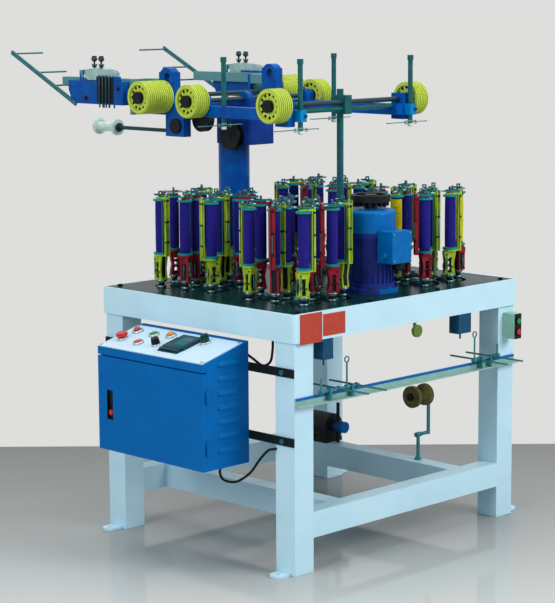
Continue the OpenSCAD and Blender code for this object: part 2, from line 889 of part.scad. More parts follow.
// Carrier without its bobbin, column toward -x, origin on the track plate
module carrier_frame(tint) {
    top = shelf_z + bobbin_l + 2 * fit;
    color(tint) {
        translate([0, 0, horn_z - table_h]) cylinder(h = horn_h, r = slot_r - fit, $fn = fn_small);
        translate([0, 0, horn_z - table_h])
            cylinder(h = table_h - horn_z + neck_top, r = stem_r, $fn = fn_small);
        translate([0, 0, fit]) cylinder(h = foot_top, r = foot_r, $fn = fn_small);
        translate([0, 0, fit]) cylinder(h = neck_top, r = neck_r, $fn = fn_small);
        translate([0, 0, neck_top]) cylinder(h = ring_top - neck_top, r = ring_r, $fn = fn_small);
        difference() {
            translate([-block_back, -block_w / 2, ring_top]) cube([block_l, block_w, shelf_z - ring_top]);
            for (i = [1:block_holes]) translate([block_l / 2 - block_back, -block_w,
                ring_top + i * (shelf_z - shelf_t - ring_top) / (block_holes + 1)])
                rotate([-90, 0, 0]) cylinder(h = 2 * block_w, r = block_hole_r, $fn = fn_small);
        }
        translate([-column_x - column_t, -column_w / 2, shelf_z - shelf_t])
            cube([column_x + column_t + block_l - block_back, column_w, shelf_t]);
        translate([0, 0, shelf_z - shelf_t]) cylinder(h = shelf_t, r = flange_r - gap, $fn = fn_small);
        translate([-column_x - column_t, 0, shelf_z - shelf_t])
            linear_extrude(top + arm_t - shelf_z + shelf_t) difference() {
                translate([0, -column_w / 2]) square([column_t, column_w]);
                translate([-over, -groove_side]) square([groove_t + over, column_w - 2 * groove_t]);
            }
        translate([-column_x - column_t, -column_w / 2, top])
            cube([column_x + column_t + block_l / 2, column_w, arm_t]);
        translate([-eye_w / 2, -column_w / 2, top + arm_t]) difference() {
            cube([eye_w, column_w, eye_h]);
            translate([-over, column_w / 2, eye_h / 2]) rotate([0, 90, 0])
                cylinder(h = eye_w + 2 * over, r = eye_r, $fn = fn_small);
        }
    }
}
module bobbin() {
    color("#00908A") translate([0, 0, shelf_z + fit]) {
        cylinder(h = flange_t, r = flange_r, $fn = fn_small);
        translate([0, 0, bobbin_l - flange_t]) cylinder(h = flange_t, r = flange_r, $fn = fn_small);
        cylinder(h = bobbin_l, r = bobbin_core_r, $fn = fn_small);
    }
    color(YARN) translate([0, 0, shelf_z + fit + flange_t + yarn_gap])
        cylinder(h = bobbin_l - 2 * flange_t - 2 * yarn_gap, r = yarn_r, $fn = fn_small);
}
// Puts a carrier piece at its slot; the column trails the way of travel
module at_slot(h, k, m) {
    a = carrier_phase(k) + m * 360 / carriers_each;
    g = gear_at(h, k);
    translate([g.x + gear_r * cos(a), g.y + gear_r * sin(a), table_h])
        rotate([0, 0, a + (spin(h, k) > 0 ? 90 : -90)]) children();
}
// Way that a gear turns
function spin(h, k) = ring_step(h, k) % 2 == 0 ? -1 : 1;
module horn_gear(h, k) {
    g = gear_at(h, k);
    translate([g.x, g.y, 0]) difference() {
        color(STEEL) union() {
            translate([0, 0, gear_z]) gear_disc(gear_teeth, gear_phase(h, k));
            bar_z(0, 0, bed_top + fit, plate_z - gap, hub_r);
            translate([0, 0, horn_z]) cylinder(h = horn_h, r = gear_r - 2 * fit, $fn = fn_round);
        }
        bar_z(0, 0, bed_z, plate_z, stud_r + fit);
        for (m = [0:horn_slots - 1]) rotate([0, 0, carrier_phase(k) + m * 360 / horn_slots])
            translate([gear_r, 0, horn_z - over])
                cylinder(h = horn_h + 2 * over, r = slot_r, $fn = fn_small);
    }
    for (m = [0:carriers_each - 1]) at_slot(h, k, m) {
        carrier_frame(spin(h, k) > 0 ? LIME : WINE);
        if (!(h == FRONT && k == 3 && m == 0)) bobbin();
    }
}
module front_bobbin() { at_slot(FRONT, 3, 0) bobbin(); }

module column() {
    color(INDIGO) translate([0, column_y, table_h]) {
        difference() {
            union() {
                cylinder(h = column_h, r = column_r, $fn = fn_round);
                cylinder(h = flange_col_t, r = flange_col_r, $fn = fn_round);
            }
            translate([0, 0, -over])
                cylinder(h = column_h + 2 * over, r = column_r - column_wall, $fn = fn_round);
        }
        for (i = [0:column_bolts - 1]) rotate([0, 0, 30 + i * 360 / column_bolts])
            translate([(column_r + flange_col_r) / 2 + gap, 0, flange_col_t])
                cylinder(h = screw_head_h, r = screw_head_r, $fn = fn_small);
    }
}
module gearbox() {
    z0 = column_top;
    color(INDIGO) difference() {
        union() {
            translate([0, 0, z0]) linear_extrude(box_top - z0)
                translate([0, (box_front + box_back) / 2]) rrect(box_w, box_back - box_front, box_wall_r);
            for (sx = [-1, 1]) translate([sx * (box_w - lug_w) / 2, mid_y, axis_z]) rotate([0, 90, 0])
                cylinder(h = lug_w, r = lug_r, center = true, $fn = fn_round);
            translate([0, column_y, z0]) cylinder(h = bell_h, r = column_r, $fn = fn_round);
            bar_x(-box_w / 2 - wheel_b_t - 2 * gap, 0, wheel_b_y, wheel_b_z, wheel_b_pin);
            for (sx = [-1, 1]) bar_x(sx * box_w / 2 - gap, sx * box_w / 2 + gap, column_y - lug_r,
                z0 + lug_r + gap, lug_r);
        }
        bar_x(-box_w, box_w, mid_y, axis_z, shaft_r + fit);
    }
}
module arm_pieces(sx) {
    x0 = sx * arm_x;
    x1 = sx * (arm_x + arm_w);
    top = arm_top;
    box([x0, -arm_y0, arm_z], [x1, arm_y1, top]);
    box([sx * box_w / 2, beam_y0, top - beam_h], [x0, beam_y1, top]);
    box([x1, -arm_y0, arm_z - block_low], [x1 + sx * block_t, -block_y1, axis_z + block_high]);
    box([x0, mid_y - pillow_l / 2, top], [x1, mid_y + pillow_l / 2, axis_z]);
    bar_x(min(x0, x1), max(x0, x1), mid_y, axis_z, pillow_r);
    box([x0, tower_y0, top], [x1, tower_y1, tower_top - tower_hole_r]);
    bar_x(min(x0, x1), max(x0, x1), (tower_y0 + tower_y1) / 2, tower_top - (tower_y1 - tower_y0) / 2,
        (tower_y1 - tower_y0) / 2);
    box([x0, arm_y1, arm_z], [sx * plate_x1, arm_y1 + plate_y, plate_top]);
}
module takeup_arms() {
    color(INDIGO) difference() {
        union() {
            for (sx = [-1, 1]) arm_pieces(sx);
            box([-arm_x, bracket_y0, bracket_z], [-arm_x - arm_w, bracket_y1, arm_z]);
            box([-rod_x + rod_out - rod_clamp, -rod_y - rod_out - rod_clamp, arm_z],
                [-rod_x + rod_out + rod_clamp, -arm_y0, arm_z + arm_h]);
            box([rod_x + rod_out - rod_clamp, -rod_y - rod_out - rod_clamp, arm_z],
                [rod_x + rod_out + rod_clamp, -arm_y0, arm_z + arm_h]);
            box([arm_x + arm_w, rod_y - rod_out - rod_clamp, arm_z],
                [rod_x + rod_out + rod_clamp, rod_y - rod_out + rod_clamp, arm_z + arm_h]);
            bar_x(-arm_x, -arm_x + cover_a_t, cover_a_y, cover_a_z, cover_a_r);
            bar_x(-arm_x - arm_w - disc_t, -arm_x - arm_w, disc_y, disc_z, disc_r);
            bar_y(-arm_x - arm_w / 2, bracket_y0, spoke_rod_end, spoke_rod_z, spoke_rod_r);
            bar_y(-arm_x - arm_w / 2, roller_y0 - roller_stop - fit, roller_y0 - fit, spoke_rod_z,
                roller_core_r);
            bar_y(-arm_x - arm_w / 2, roller_y1 + fit, spoke_rod_end, spoke_rod_z, roller_core_r - gap);
        }
        bar_x(-plate_x1, plate_x1, -front_y, axis_z, shaft_r + fit);
        bar_x(-plate_x1, plate_x1, mid_y, axis_z, shaft_r + fit);
        bar_x(-plate_x1, plate_x1, rear_y, rear_z, shaft_r + fit);
        bar_x(-plate_x1, plate_x1, tower_hole_y, tower_hole_z, tower_hole_r);
        for (at = [[-rod_x, -rod_y], [rod_x, -rod_y], [rod_x, rod_y], [-rod_x, rod_y]])
            bar_z(at.x + rod_out, at.y - rod_out, arm_z - over, arm_z + arm_h + over, rod_r + fit);
    }
}
module rear_unit(sx) {
    y0 = arm_y1 + plate_y;
    x0 = sx * beam_x1;
    x1 = sx * unit_x1;
    box([sx * beam_x0, y0, rear_beam_z], [sx * beam_x1, rear_end, rear_beam_z + rear_beam_h]);
    box([x0, y0 + over, unit_low], [x1, head_y1, head_top]);
    box([x0, head_y1, unit_low], [x1, comb_y1, comb_top]);
    translate([min(x0, x1), 0, 0]) rotate([90, 0, 90]) linear_extrude(unit_x1 - beam_x1)
        polygon([[comb_y1, unit_low], [comb_y1 + tail_slope_share * (tail_y1 - comb_y1), unit_low],
            [tail_y1, head_top - rear_beam_h], [tail_y1, head_top], [comb_y1, head_top]]);
    for (s = comb_pin_shares) bar_z((x0 + x1) / 2, head_y1 + s * (comb_y1 - head_y1),
        unit_low - comb_pin_l, unit_low, comb_pin_r);
    for (x = [x0, x1 - sx * ear_t])
        box([x, pivot_y - ear_pad, head_top], [x + sx * ear_t, pivot_y + ear_pad, pivot_z + ear_pad]);
    bar_x(min(x0, x1), max(x0, x1), pivot_y, pivot_z, pivot_r);
}
module rear_beams() { color(INDIGO) for (sx = [-1, 1]) rear_unit(sx); }
module pressure_arm(sx) {
    xm = sx * (beam_x1 + unit_x1) / 2;
    color("#C8D8E0") difference() {
        union() {
            translate([xm - press_w / 2, 0, 0]) rotate([90, 0, 90]) linear_extrude(press_w)
                polygon([[head_y1, comb_top + fit], [comb_y1, comb_top + fit],
                    [pivot_y - ear_pad, pivot_z - ear_pad], [pivot_y + ear_pad, pivot_z - ear_pad],
                    [pivot_y + ear_pad, pivot_z + ear_pad], [comb_y1, comb_top + 2 * press_t],
                    [head_y1, comb_top + press_t]]);
            for (y = knob_ys) {
                bar_z(xm, y, comb_top + press_t, knob_top, knob_stem_r);
                bar_z(xm, y, knob_top - knob_head_t, knob_top, knob_head_r);
            }
        }
        bar_x(xm - press_w, xm + press_w, pivot_y, pivot_z, pivot_r + fit);
    }
}
module pressure_arm_left() { pressure_arm(-1); }
module pressure_arm_right() { pressure_arm(1); }
module braid_racks() {
    rise = bar_z1 - bar_z0;
    run = bar_y1 - bar_y0;
    tilt = atan(rise / run);
    color(STEEL) for (sx = [-1, 1]) {
        translate([sx > 0 ? unit_x1 : -unit_x1 - bar_t, bar_y0, bar_z0]) rotate([tilt, 0, 0])
            cube([bar_t, norm([rise, run]), bar_w]);
        for (s = peg_shares) let (y = bar_y1 - s * run, z = bar_z1 - s * rise + bar_w / 2 / cos(tilt))
            bar_x(sx > 0 ? unit_x1 - peg_l : -unit_x1, sx > 0 ? unit_x1 : -unit_x1 + peg_l, y, z, peg_r);
    }
}

// Grooved haul-off roll between x0 and x0 + l
module roll(x0, l, grooves, y, z) {
    pitch = l / grooves;
    translate([x0, y, z]) rotate([0, 90, 0]) difference() {
        rotate_extrude($fn = fn_round) polygon(concat([[0, 0]],
            [for (i = [0:grooves - 1], p = [[roll_r - roll_groove, 0], [roll_r, pitch / 4],
                [roll_r, pitch * 3 / 4], [roll_r - roll_groove, pitch]]) if (p.y > 0 || i == 0)
                [p.x, p.y + i * pitch]], [[0, l]]));
        for (e = [-over, l - roll_dish]) translate([0, 0, e]) difference() {
            cylinder(h = roll_dish + over, r = roll_r - 3 * roll_groove, $fn = fn_round);
            translate([0, 0, -over]) cylinder(h = roll_dish + 3 * over, r = roll_hub_r, $fn = fn_round);
        }
        for (i = [0:roll_hole_n - 1]) rotate([0, 0, i * 360 / roll_hole_n])
            translate([roll_hole_share * roll_r, 0, -over])
                cylinder(h = l + 2 * over, r = roll_hole_r, $fn = fn_small);
    }
}
module roll_pair(x0, l, grooves, y, z) {
    color(ROLL) for (sx = [-1, 1]) roll(sx > 0 ? x0 : -x0 - l, l, grooves, y, z);
    color(DARK) bar_x(-x0 - l - roll_hub_t, x0 + l + roll_hub_t, y, z, shaft_r);
    color(DARK) for (sx = [-1, 1]) bar_x(sx > 0 ? x0 + l : -x0 - l - roll_hub_t,
        sx > 0 ? x0 + l + roll_hub_t : -x0 - l, y, z, roll_hub_r);
}
module front_rolls() { roll_pair(roll_x, roll_l, roll_groove_n, -front_y, axis_z); }
module middle_rolls() { roll_pair(mid_roll_x, roll_l, roll_groove_n, mid_y, axis_z); }
module rear_rolls() { roll_pair(mid_roll_x, long_roll_l, long_groove_n, rear_y, rear_z); }

module guide_post() {
    color(TEAL) difference() {
        union() {
            bar_z(0, -post_y, table_h, post_top, post_r);
            bar_z(0, -post_y, table_h, table_h + flange_col_t, 2 * post_r);
            box([-clamp_x, -clamp_y0, clamp_z0], [clamp_x, -clamp_y1, clamp_z1]);
            bar_x(-arm_x, arm_x, -front_y, cross_bar_z, cross_bar_r);
        }
        bar_x(-clamp_x - over, clamp_x + over, -front_y, axis_z, shaft_r + fit);
    }
}
module guide_rods() {
    color(TEAL) for (at = [[-rod_x, -rod_y], [rod_x, -rod_y], [rod_x, rod_y], [-rod_x, rod_y]]) {
        x = at.x + rod_out;
        y = at.y - rod_out;
        z = rod_top - rod_l;
        bar_z(x, y, z, rod_top, rod_r);
        bar_z(x, y, rod_top - 2 * rod_r, rod_top, rod_r + gap);
        bar_x(x - wire_back, x + wire_front, y, z + wire_up, wire_r);
        bar_y(x + wire_front, y - wire_jog, y + wire_r, z + wire_up, wire_r);
        bar_y(x - wire_back, y - wire_r, y + wire_jog, z + wire_up, wire_r);
    }
}
module guide_roller() {
    color("#F0F0EC") translate([-arm_x - arm_w / 2, roller_y0, spoke_rod_z]) rotate([-90, 0, 0])
        difference() {
        rotate_extrude($fn = fn_round) {
            square([roller_core_r, roller_y1 - roller_y0]);
            for (y = [0, roller_y1 - roller_y0 - roller_flange]) translate([0, y])
                square([roller_r, roller_flange]);
        }
        translate([0, 0, -over])
            cylinder(h = roller_y1 - roller_y0 + 2 * over, r = spoke_rod_r + fit, $fn = fn_small);
    }
}
module takeup_wheel() {
    color(DARK) translate([-box_w / 2 - gap - wheel_b_t, wheel_b_y, wheel_b_z]) rotate([0, 90, 0])
        difference() {
        cylinder(h = wheel_b_t, r = wheel_b_r, $fn = fn_round);
        translate([0, 0, -over]) cylinder(h = wheel_b_t + 2 * over, r = wheel_b_pin + fit, $fn = fn_small);
        translate([0, 0, wheel_b_t / 2]) rotate_extrude($fn = fn_round)
            translate([wheel_b_r - wheel_cut, -wheel_cut]) square([2 * wheel_cut, 2 * wheel_cut]);
    }
}

// Stop motion on the front
module stop_bar() {
    y0 = in_w / 2;
    color(WHITE) {
        box([-in_l / 2, -y0, stop_z], [in_l / 2, -y0 - bar_wall, stop_z + bar_leg]);
        box([-in_l / 2, -y0, stop_z], [in_l / 2, -y0 - bar_leg, stop_z + bar_wall]);
    }
    color(STEEL) for (x = concat(left_ears, right_ears)) difference() {
        box([x - fork_ear_t / 2, -y0 - fork_y - fork_ear_w / 2, stop_z + bar_wall],
            [x + fork_ear_t / 2, -y0 - fork_y + fork_ear_w / 2,
                stop_z + bar_leg + fork_rise + fork_ear_w / 2]);
        bar_x(x - fork_ear_t, x + fork_ear_t, -y0 - fork_y, stop_z + bar_leg + fork_rise,
            fork_shaft_r + fit);
    }
}
module stop_fork(rods, pins) {
    y0 = -in_w / 2 - fork_y;
    z0 = stop_z + bar_leg + fork_rise;
    xs = concat(rods, pins);
    color(STEEL) {
        bar_x(min(xs) - fork_over, max(xs) + fork_over, y0, z0, fork_shaft_r);
        for (x = rods) {
            bar_y(x, y0 - fork_front_share * fork_l, y0 + (1 - fork_front_share) * fork_l, z0, fork_rod_r);
            bar_x(x - fork_rod_r, x + fork_rod_r, y0, z0, 2 * fork_shaft_r);
        }
        for (i = [0, 1]) {
            bar_z(pins[i], y0, z0, z0 + fork_pin_h[i], fork_rod_r);
            bar_x(pins[i] - 2 * fork_rod_r, pins[i] + 2 * fork_rod_r, y0, z0, 2 * fork_shaft_r);
        }
        translate([pins[0], y0, z0 + fork_pin_h[0] + fork_ring_r]) rotate([90, 0, 0]) difference() {
            cylinder(h = fork_ring_t, r = fork_ring_r + fork_rod_r / 2, center = true, $fn = fn_small);
            cylinder(h = 2 * fork_ring_t, r = fork_ring_r - fork_rod_r / 2, center = true, $fn = fn_small);
        }
    }
}
module stop_fork_left() { stop_fork(left_rods, left_pins); }
module stop_fork_right() { stop_fork(right_rods, right_pins); }
module switch_boxes() {
    y0 = -table_w / 2;
    color(TEAL) for (s = [left_switch, right_switch]) {
        box([s[0], y0, apron_z - switch_z], [s[1], y0 + switch_t, apron_z]);
        bar_z((s[0] + s[1]) / 2, y0 + switch_t / 2, apron_z - switch_z - switch_t / 2,
            apron_z - switch_z, fork_rod_r);
    }
    color("#206830") {
        box([tension_x - gap, y0, apron_z - tension_z], [tension_x + gap, y0 + tension_t, apron_z]);
        bar_y(tension_x, y0 - tension_t, y0, apron_z - tension_z, tension_r);
        bar_y(tension_x, y0 - tension_t, y0 + tension_t, apron_z - tension_z, tension_r / 2);
    }
}
module station_box() {
    y1 = -in_w / 2;
    xm = (station_x0 + station_x1) / 2;
    color("#D8D8D0") difference() {
        union() {
            box([station_x0, y1, station_z0], [station_x1, y1 - station_t, station_z0 + station_h]);
            for (s = station_up_shares) bar_y(xm, y1 - station_t - station_ring, y1 - station_t,
                station_z0 + s * station_h, station_r + station_ring);
        }
        for (s = station_up_shares) bar_y(xm, y1 - station_t - station_ring - over,
            y1 - station_t + station_ring + fit, station_z0 + s * station_h, station_r + fit);
    }
}
module station_button(i) {
    bar_y((station_x0 + station_x1) / 2, -in_w / 2 - station_t - 2 * station_ring, -in_w / 2 - station_t,
        station_z0 + station_up_shares[i] * station_h, station_r);
}
module station_start() { color("#20A040") station_button(0); }
module station_stop() { color("#D03020") station_button(1); }
module supply_spool() {
    x0 = spool_x - spool_l / 2;
    color("#A09060") difference() {
        union() {
            bar_x(x0, x0 + spool_l, -spool_y, rail_z + rail_h + spool_z, spool_core_r);
            for (x = [x0, x0 + spool_l - spool_flange]) bar_x(x, x + spool_flange, -spool_y,
                rail_z + rail_h + spool_z, spool_r);
        }
        bar_x(x0 - over, x0 + spool_l + over, -spool_y, rail_z + rail_h + spool_z, spool_pin_r + fit);
    }
}
module rail_fittings() {
    z0 = rail_z + rail_h;
    za = z0 + spool_rod_h;
    zs = z0 + spool_z;
    color(WHITE) {
        bar_z(spool_x, -spool_y, z0, za + wing_t, spool_rod_r);
        bar_z(spool_x, -spool_y, z0, z0 + wing_t, 2 * spool_rod_r);
        bar_x(spool_x - wing_r, spool_x + wing_r, -spool_y, za, wing_t);
        bar_x(spool_x, spool_arm_x, -spool_y, za, spool_rod_r);
        bar_z(spool_arm_x, -spool_y, za - spool_rod_r, zs + spool_pin_r, spool_rod_r);
        bar_x(spool_x - spool_l / 2 - wing_t, spool_arm_x, -spool_y, zs, spool_pin_r);
        bar_x(spool_x - spool_l / 2 - wing_t - fit, spool_x - spool_l / 2 - fit, -spool_y, zs, wing_r);
        bar_x(spool_x + spool_l / 2 + fit, spool_arm_x, -spool_y, zs, wing_r);
    }
    color(DARK) {
        box([spool_x - gear_box_w / 2, gear_box_y0, z0], [spool_x + gear_box_w / 2, gear_box_y1,
            z0 + gear_box_base]);
        bar_y(spool_x, gear_box_y0, gear_box_y1, z0 + gear_box_base + gear_box_r - gap, gear_box_r);
        box([spool_x - gear_box_r + 2 * gap, gear_box_y0 + gap, z0 + gear_box_base - over],
            [spool_x + gear_box_r - 2 * gap, (gear_box_y0 + gear_box_y1) / 2,
                z0 + gear_box_base + gear_box_r]);
        bar_y(spool_x, gear_box_end, gear_box_y0, z0 + gear_box_base + gear_box_r, gear_box_end_r);
        bar_z(spool_x, gear_rod_y, z0, z0 + gear_rod_h, gear_rod_r);
    }
}

// Cable swept along a route
function unit(v) = v / norm(v);
function curve(p, n) = concat([for (i = [0:len(p) - 2], j = [0:n - 1])
    let (t = j / n, a = p[max(i - 1, 0)], b = p[i], c = p[i + 1], d = p[min(i + 2, len(p) - 1)])
    b + (c - a) * t / 2 + (2 * a - 5 * b + 4 * c - d) * pow(t, 2) / 2
        + (3 * b - a - 3 * c + d) * pow(t, 3) / 2],
    [p[len(p) - 1]]);
function headings(p) = [for (i = [0:len(p) - 1]) unit(p[min(i + 1, len(p) - 1)] - p[max(i - 1, 0)])];
function sides(t) = [for (i = 0, u = unit(cross(t[0], unit([1, 2, 3]))); i < len(t);
    i = i + 1, u = i < len(t) ? unit(u - (u * t[i]) * t[i]) : u) u];
module cable(route, r) {
    p = curve(route, cable_steps);
    t = headings(p);
    u = sides(t);
    n = cable_sides;
    last = (len(p) - 1) * n;
    polyhedron(
        points = [for (i = [0:len(p) - 1], k = [0:n - 1])
            p[i] + r * (cos(k * 360 / n) * u[i] + sin(k * 360 / n) * cross(t[i], u[i]))],
        faces = concat(
            [for (i = [0:len(p) - 2], k = [0:n - 1])
                [i * n + k, (i + 1) * n + k, (i + 1) * n + (k + 1) % n]],
            [for (i = [0:len(p) - 2], k = [0:n - 1])
                [i * n + k, (i + 1) * n + (k + 1) % n, i * n + (k + 1) % n]],
            [for (k = [1:n - 2]) [0, k, k + 1]],
            [for (k = [1:n - 2]) [last, last + k + 1, last + k]]));
}
module cabinet_cable() { color(DARK) cable(cabinet_route, cable_r); }
module supply_cable() { color(DARK) cable(supply_route, cable_r); }

legs();
lower_rails();
apron();
bed_plate();
track_plate();
cabinet_straps();
cabinet_body();
cabinet_door();
cabinet_panel();
panel_lamps();
emergency_stop();
start_button();
stop_button();
speed_knob();
mode_selector();
motor_body();
handwheel();
bull_gear();
column();
gearbox();
takeup_arms();
rear_beams();
braid_racks();
pressure_arm_left();
pressure_arm_right();
front_rolls();
middle_rolls();
rear_rolls();
guide_post();
guide_rods();
guide_roller();
takeup_wheel();
stop_bar();
switch_boxes();
stop_fork_left();
stop_fork_right();
station_box();
station_start();
station_stop();
supply_spool();
rail_fittings();
front_bobbin();
cabinet_cable();
supply_cable();
horn_gear(FRONT, 1);  // front_gear_1
horn_gear(FRONT, 2);  // front_gear_2
horn_gear(FRONT, 3);  // front_gear_3
horn_gear(FRONT, 4);  // front_gear_4
horn_gear(LEFT, 1);  // left_gear_1
horn_gear(LEFT, 2);  // left_gear_2
horn_gear(LEFT, 3);  // left_gear_3
horn_gear(LEFT, 4);  // left_gear_4
horn_gear(RIGHT, 1);  // right_gear_1
horn_gear(RIGHT, 2);  // right_gear_2
horn_gear(RIGHT, 3);  // right_gear_3
horn_gear(RIGHT, 4);  // right_gear_4
horn_gear(BACK, 1);  // back_gear_1
horn_gear(BACK, 2);  // back_gear_2
horn_gear(BACK, 3);  // back_gear_3
horn_gear(BACK, 4);  // back_gear_4
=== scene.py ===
import math
import bpy
from mathutils import Matrix, Vector


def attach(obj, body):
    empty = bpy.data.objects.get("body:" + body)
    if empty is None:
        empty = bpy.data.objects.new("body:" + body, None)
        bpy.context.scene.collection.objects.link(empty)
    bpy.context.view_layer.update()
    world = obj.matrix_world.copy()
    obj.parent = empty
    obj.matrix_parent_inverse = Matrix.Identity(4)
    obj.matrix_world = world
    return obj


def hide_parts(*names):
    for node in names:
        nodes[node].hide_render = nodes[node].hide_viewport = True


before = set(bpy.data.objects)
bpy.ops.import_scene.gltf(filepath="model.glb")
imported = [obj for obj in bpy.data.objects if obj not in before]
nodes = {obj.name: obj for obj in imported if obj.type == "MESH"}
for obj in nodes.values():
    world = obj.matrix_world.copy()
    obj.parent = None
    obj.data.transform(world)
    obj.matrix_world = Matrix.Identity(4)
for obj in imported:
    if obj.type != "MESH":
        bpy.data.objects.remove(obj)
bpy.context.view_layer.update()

MM = 0.001

# Camera: a long lens at standing height, looking at the corner between the cabinet end and the front
YAW, PITCH, ROLL = (math.radians(a) for a in (44.922, 8.772, -0.318))
CAMERA_AT = (-4603.95, -4456.03, 1725.49)
LENS, SENSOR_WIDTH, SIGHT = 117.52, 36, 60
ahead = Vector((math.sin(YAW) * math.cos(PITCH), math.cos(YAW) * math.cos(PITCH), -math.sin(PITCH)))
level = Vector((math.cos(YAW), -math.sin(YAW), 0))
rise = level.cross(ahead)
right = math.cos(ROLL) * level + math.sin(ROLL) * rise
top = -math.sin(ROLL) * level + math.cos(ROLL) * rise
camera = bpy.data.objects.new("camera", bpy.data.cameras.new("camera"))
bpy.context.scene.collection.objects.link(camera)
camera.matrix_world = (Matrix.Translation(Vector(CAMERA_AT) * MM)
                       @ Matrix((right, top, -ahead)).transposed().to_4x4())
camera.data.lens = LENS
camera.data.sensor_width = SENSOR_WIDTH
camera.data.clip_end = SIGHT
bpy.context.scene.camera = camera
bpy.context.scene.view_settings.view_transform = "Standard"


# Colours and materials
def paint(code, alpha=1.0):
    """An sRGB hex value as linear colour."""
    levels = [int(code[i:i + 2], 16) / 255 for i in (1, 3, 5)]
    return (*[v / 12.92 if v <= 0.04045 else ((v + 0.055) / 1.055) ** 2.4 for v in levels], alpha)


def add(tree, kind, inputs=None, **settings):
    """Adds a node with its settings; an input takes a value or another node's socket."""
    n = tree.nodes.new(kind)
    for key, value in settings.items():
        setattr(n, key, value)
    for key, value in (inputs or {}).items():
        if isinstance(value, bpy.types.NodeSocket):
            tree.links.new(value, n.inputs[key])
        else:
            n.inputs[key].default_value = value
    return n


COAT_ROUGHNESS = 0.12
ROUGHNESS_SPREAD = 0.06


def finish(name, base, spot, spot_mm, share, rough, metallic=0.0, grain_mm=0.5, grain=0.1,
           coat=0.0, sheen=0.0, stretch=(1, 1, 1), shine=0.5):
    """A surface: base colour, a share of spot colour in patches spot_mm across, and a grain of grain_mm.

    Grains finer than half a millimetre in life, as on moulded and plated skins, are drawn 0.5 to 0.8 mm
    wide so that they show in close views.
    """
    m = bpy.data.materials.new(name)
    m.use_nodes = True
    t = m.node_tree
    t.nodes.clear()
    place = add(t, "ShaderNodeTexCoord")
    aim = add(t, "ShaderNodeMapping", {"Vector": place.outputs["Object"], "Scale": stretch})
    patch = add(t, "ShaderNodeTexNoise",
                {"Vector": aim.outputs[0], "Scale": 1 / (spot_mm * MM), "Detail": 3.0})
    step = add(t, "ShaderNodeMapRange", {"Value": patch.outputs["Fac"], "From Min": 0.35, "From Max": 0.7,
                                          "To Min": 0.0, "To Max": share})
    tint = add(t, "ShaderNodeMix", {"Factor": step.outputs[0], "A": paint(base), "B": paint(spot)},
               data_type="RGBA")
    fine = add(t, "ShaderNodeTexNoise",
               {"Vector": aim.outputs[0], "Scale": 1 / (grain_mm * MM), "Detail": 2.0})
    dull = add(t, "ShaderNodeMapRange", {"Value": patch.outputs["Fac"], "To Min": rough - ROUGHNESS_SPREAD,
                                          "To Max": rough + ROUGHNESS_SPREAD})
    bump = add(t, "ShaderNodeBump",
               {"Height": fine.outputs["Fac"], "Strength": grain, "Distance": grain_mm * MM})
    s = add(t, "ShaderNodeBsdfPrincipled", {
        "Base Color": tint.outputs["Result"], "Roughness": dull.outputs[0], "Normal": bump.outputs[0],
        "Metallic": metallic, "Coat Weight": coat, "Coat Roughness": COAT_ROUGHNESS, "Sheen Weight": sheen})
    if metallic == 0:
        s.inputs["Specular IOR Level"].default_value = shine
    add(t, "ShaderNodeOutputMaterial", {"Surface": s.outputs[0]})
    return m


# Stove enamel on welded steel: pale, half gloss, with the faint orange peel of spray
frame_enamel = finish("pale_stove_enamel", "#C8E9F8", "#BADDEE", 120, 0.5, 0.38,
                      grain_mm=2.2, grain=0.05, shine=0.3)
# Powder coat on folded sheet: even royal blue with a fine pebbled skin
cabinet_coat = finish("royal_blue_powder_coat", "#0066B0", "#005EA6", 90, 0.6, 0.36,
                      grain_mm=1.2, grain=0.06, shine=0.08)
# Machine enamel brushed over castings: deep blue, its gloss uneven where the brush went
casting_blue = finish("deep_blue_machine_enamel", "#0058A8", "#043C92", 46, 0.9, 0.34,
                      grain_mm=3, grain=0.1, shine=0.1)
# Machine enamel on the gearbox: indigo, mottled by the sand casting under it
casting_indigo = finish("indigo_machine_enamel", "#123E96", "#122C7C", 46, 0.9, 0.34,
                        grain_mm=3, grain=0.1, shine=0.1)
# Enamel sprayed on a finned iron casting: violet blue over a coarse skin
motor_coat = finish("violet_blue_motor_enamel", "#243690", "#1E2C7C", 30, 0.8, 0.34,
                    grain_mm=2.4, grain=0.12, shine=0.15)
# Enamel sprayed on pressed sheet: brighter and smoother than the fins below
cowl_coat = finish("bright_blue_motor_enamel", "#006AB2", "#005AA0", 30, 0.7, 0.34,
                   grain_mm=2, grain=0.1, shine=0.12)
# Machine enamel on small castings: sky blue, cloudy where it lies thick
clamp_blue = finish("sky_blue_machine_enamel", "#0084C6", "#0072B4", 20, 0.7, 0.34,
                    grain_mm=2, grain=0.1, shine=0.12)
# Enamel on a ground plate: green-black, a dim mirror under the carriers
plate_enamel = finish("green_black_plate_enamel", "#083034", "#052226", 60, 0.8, 0.22,
                      grain_mm=6, grain=0.03, shine=0.03)
# Cast iron, machined and oiled: near black with a dull green-grey sheen
track_steel = finish("oiled_cast_iron", "#1C3634", "#0E2222", 18, 0.8, 0.4, metallic=0.3,
                     grain_mm=1.2, grain=0.15, shine=0.2)
# Steel blackened in hot oxide: matt black with a little grain
bed_black = finish("black_oxide_steel", "#0A1214", "#12191B", 25, 0.7, 0.46,
                   grain_mm=0.8, grain=0.1, shine=0.2)
# Steel turned on a lathe: fine rings and a soft mirror; its blue-green tint and darker patches are painted
# reflection of the surroundings
turned_steel = finish("turned_steel", "#7FA6A6", "#46706E", 8, 0.8, 0.3, metallic=1.0,
                      grain_mm=0.6, grain=0.06, stretch=(1, 1, 6))
# Steel blued by heat: dark blue-green with a half mirror
blued_steel = finish("blued_steel", "#2E767E", "#1E5A62", 14, 0.7, 0.34, metallic=0.4,
                     grain_mm=0.8, grain=0.06)
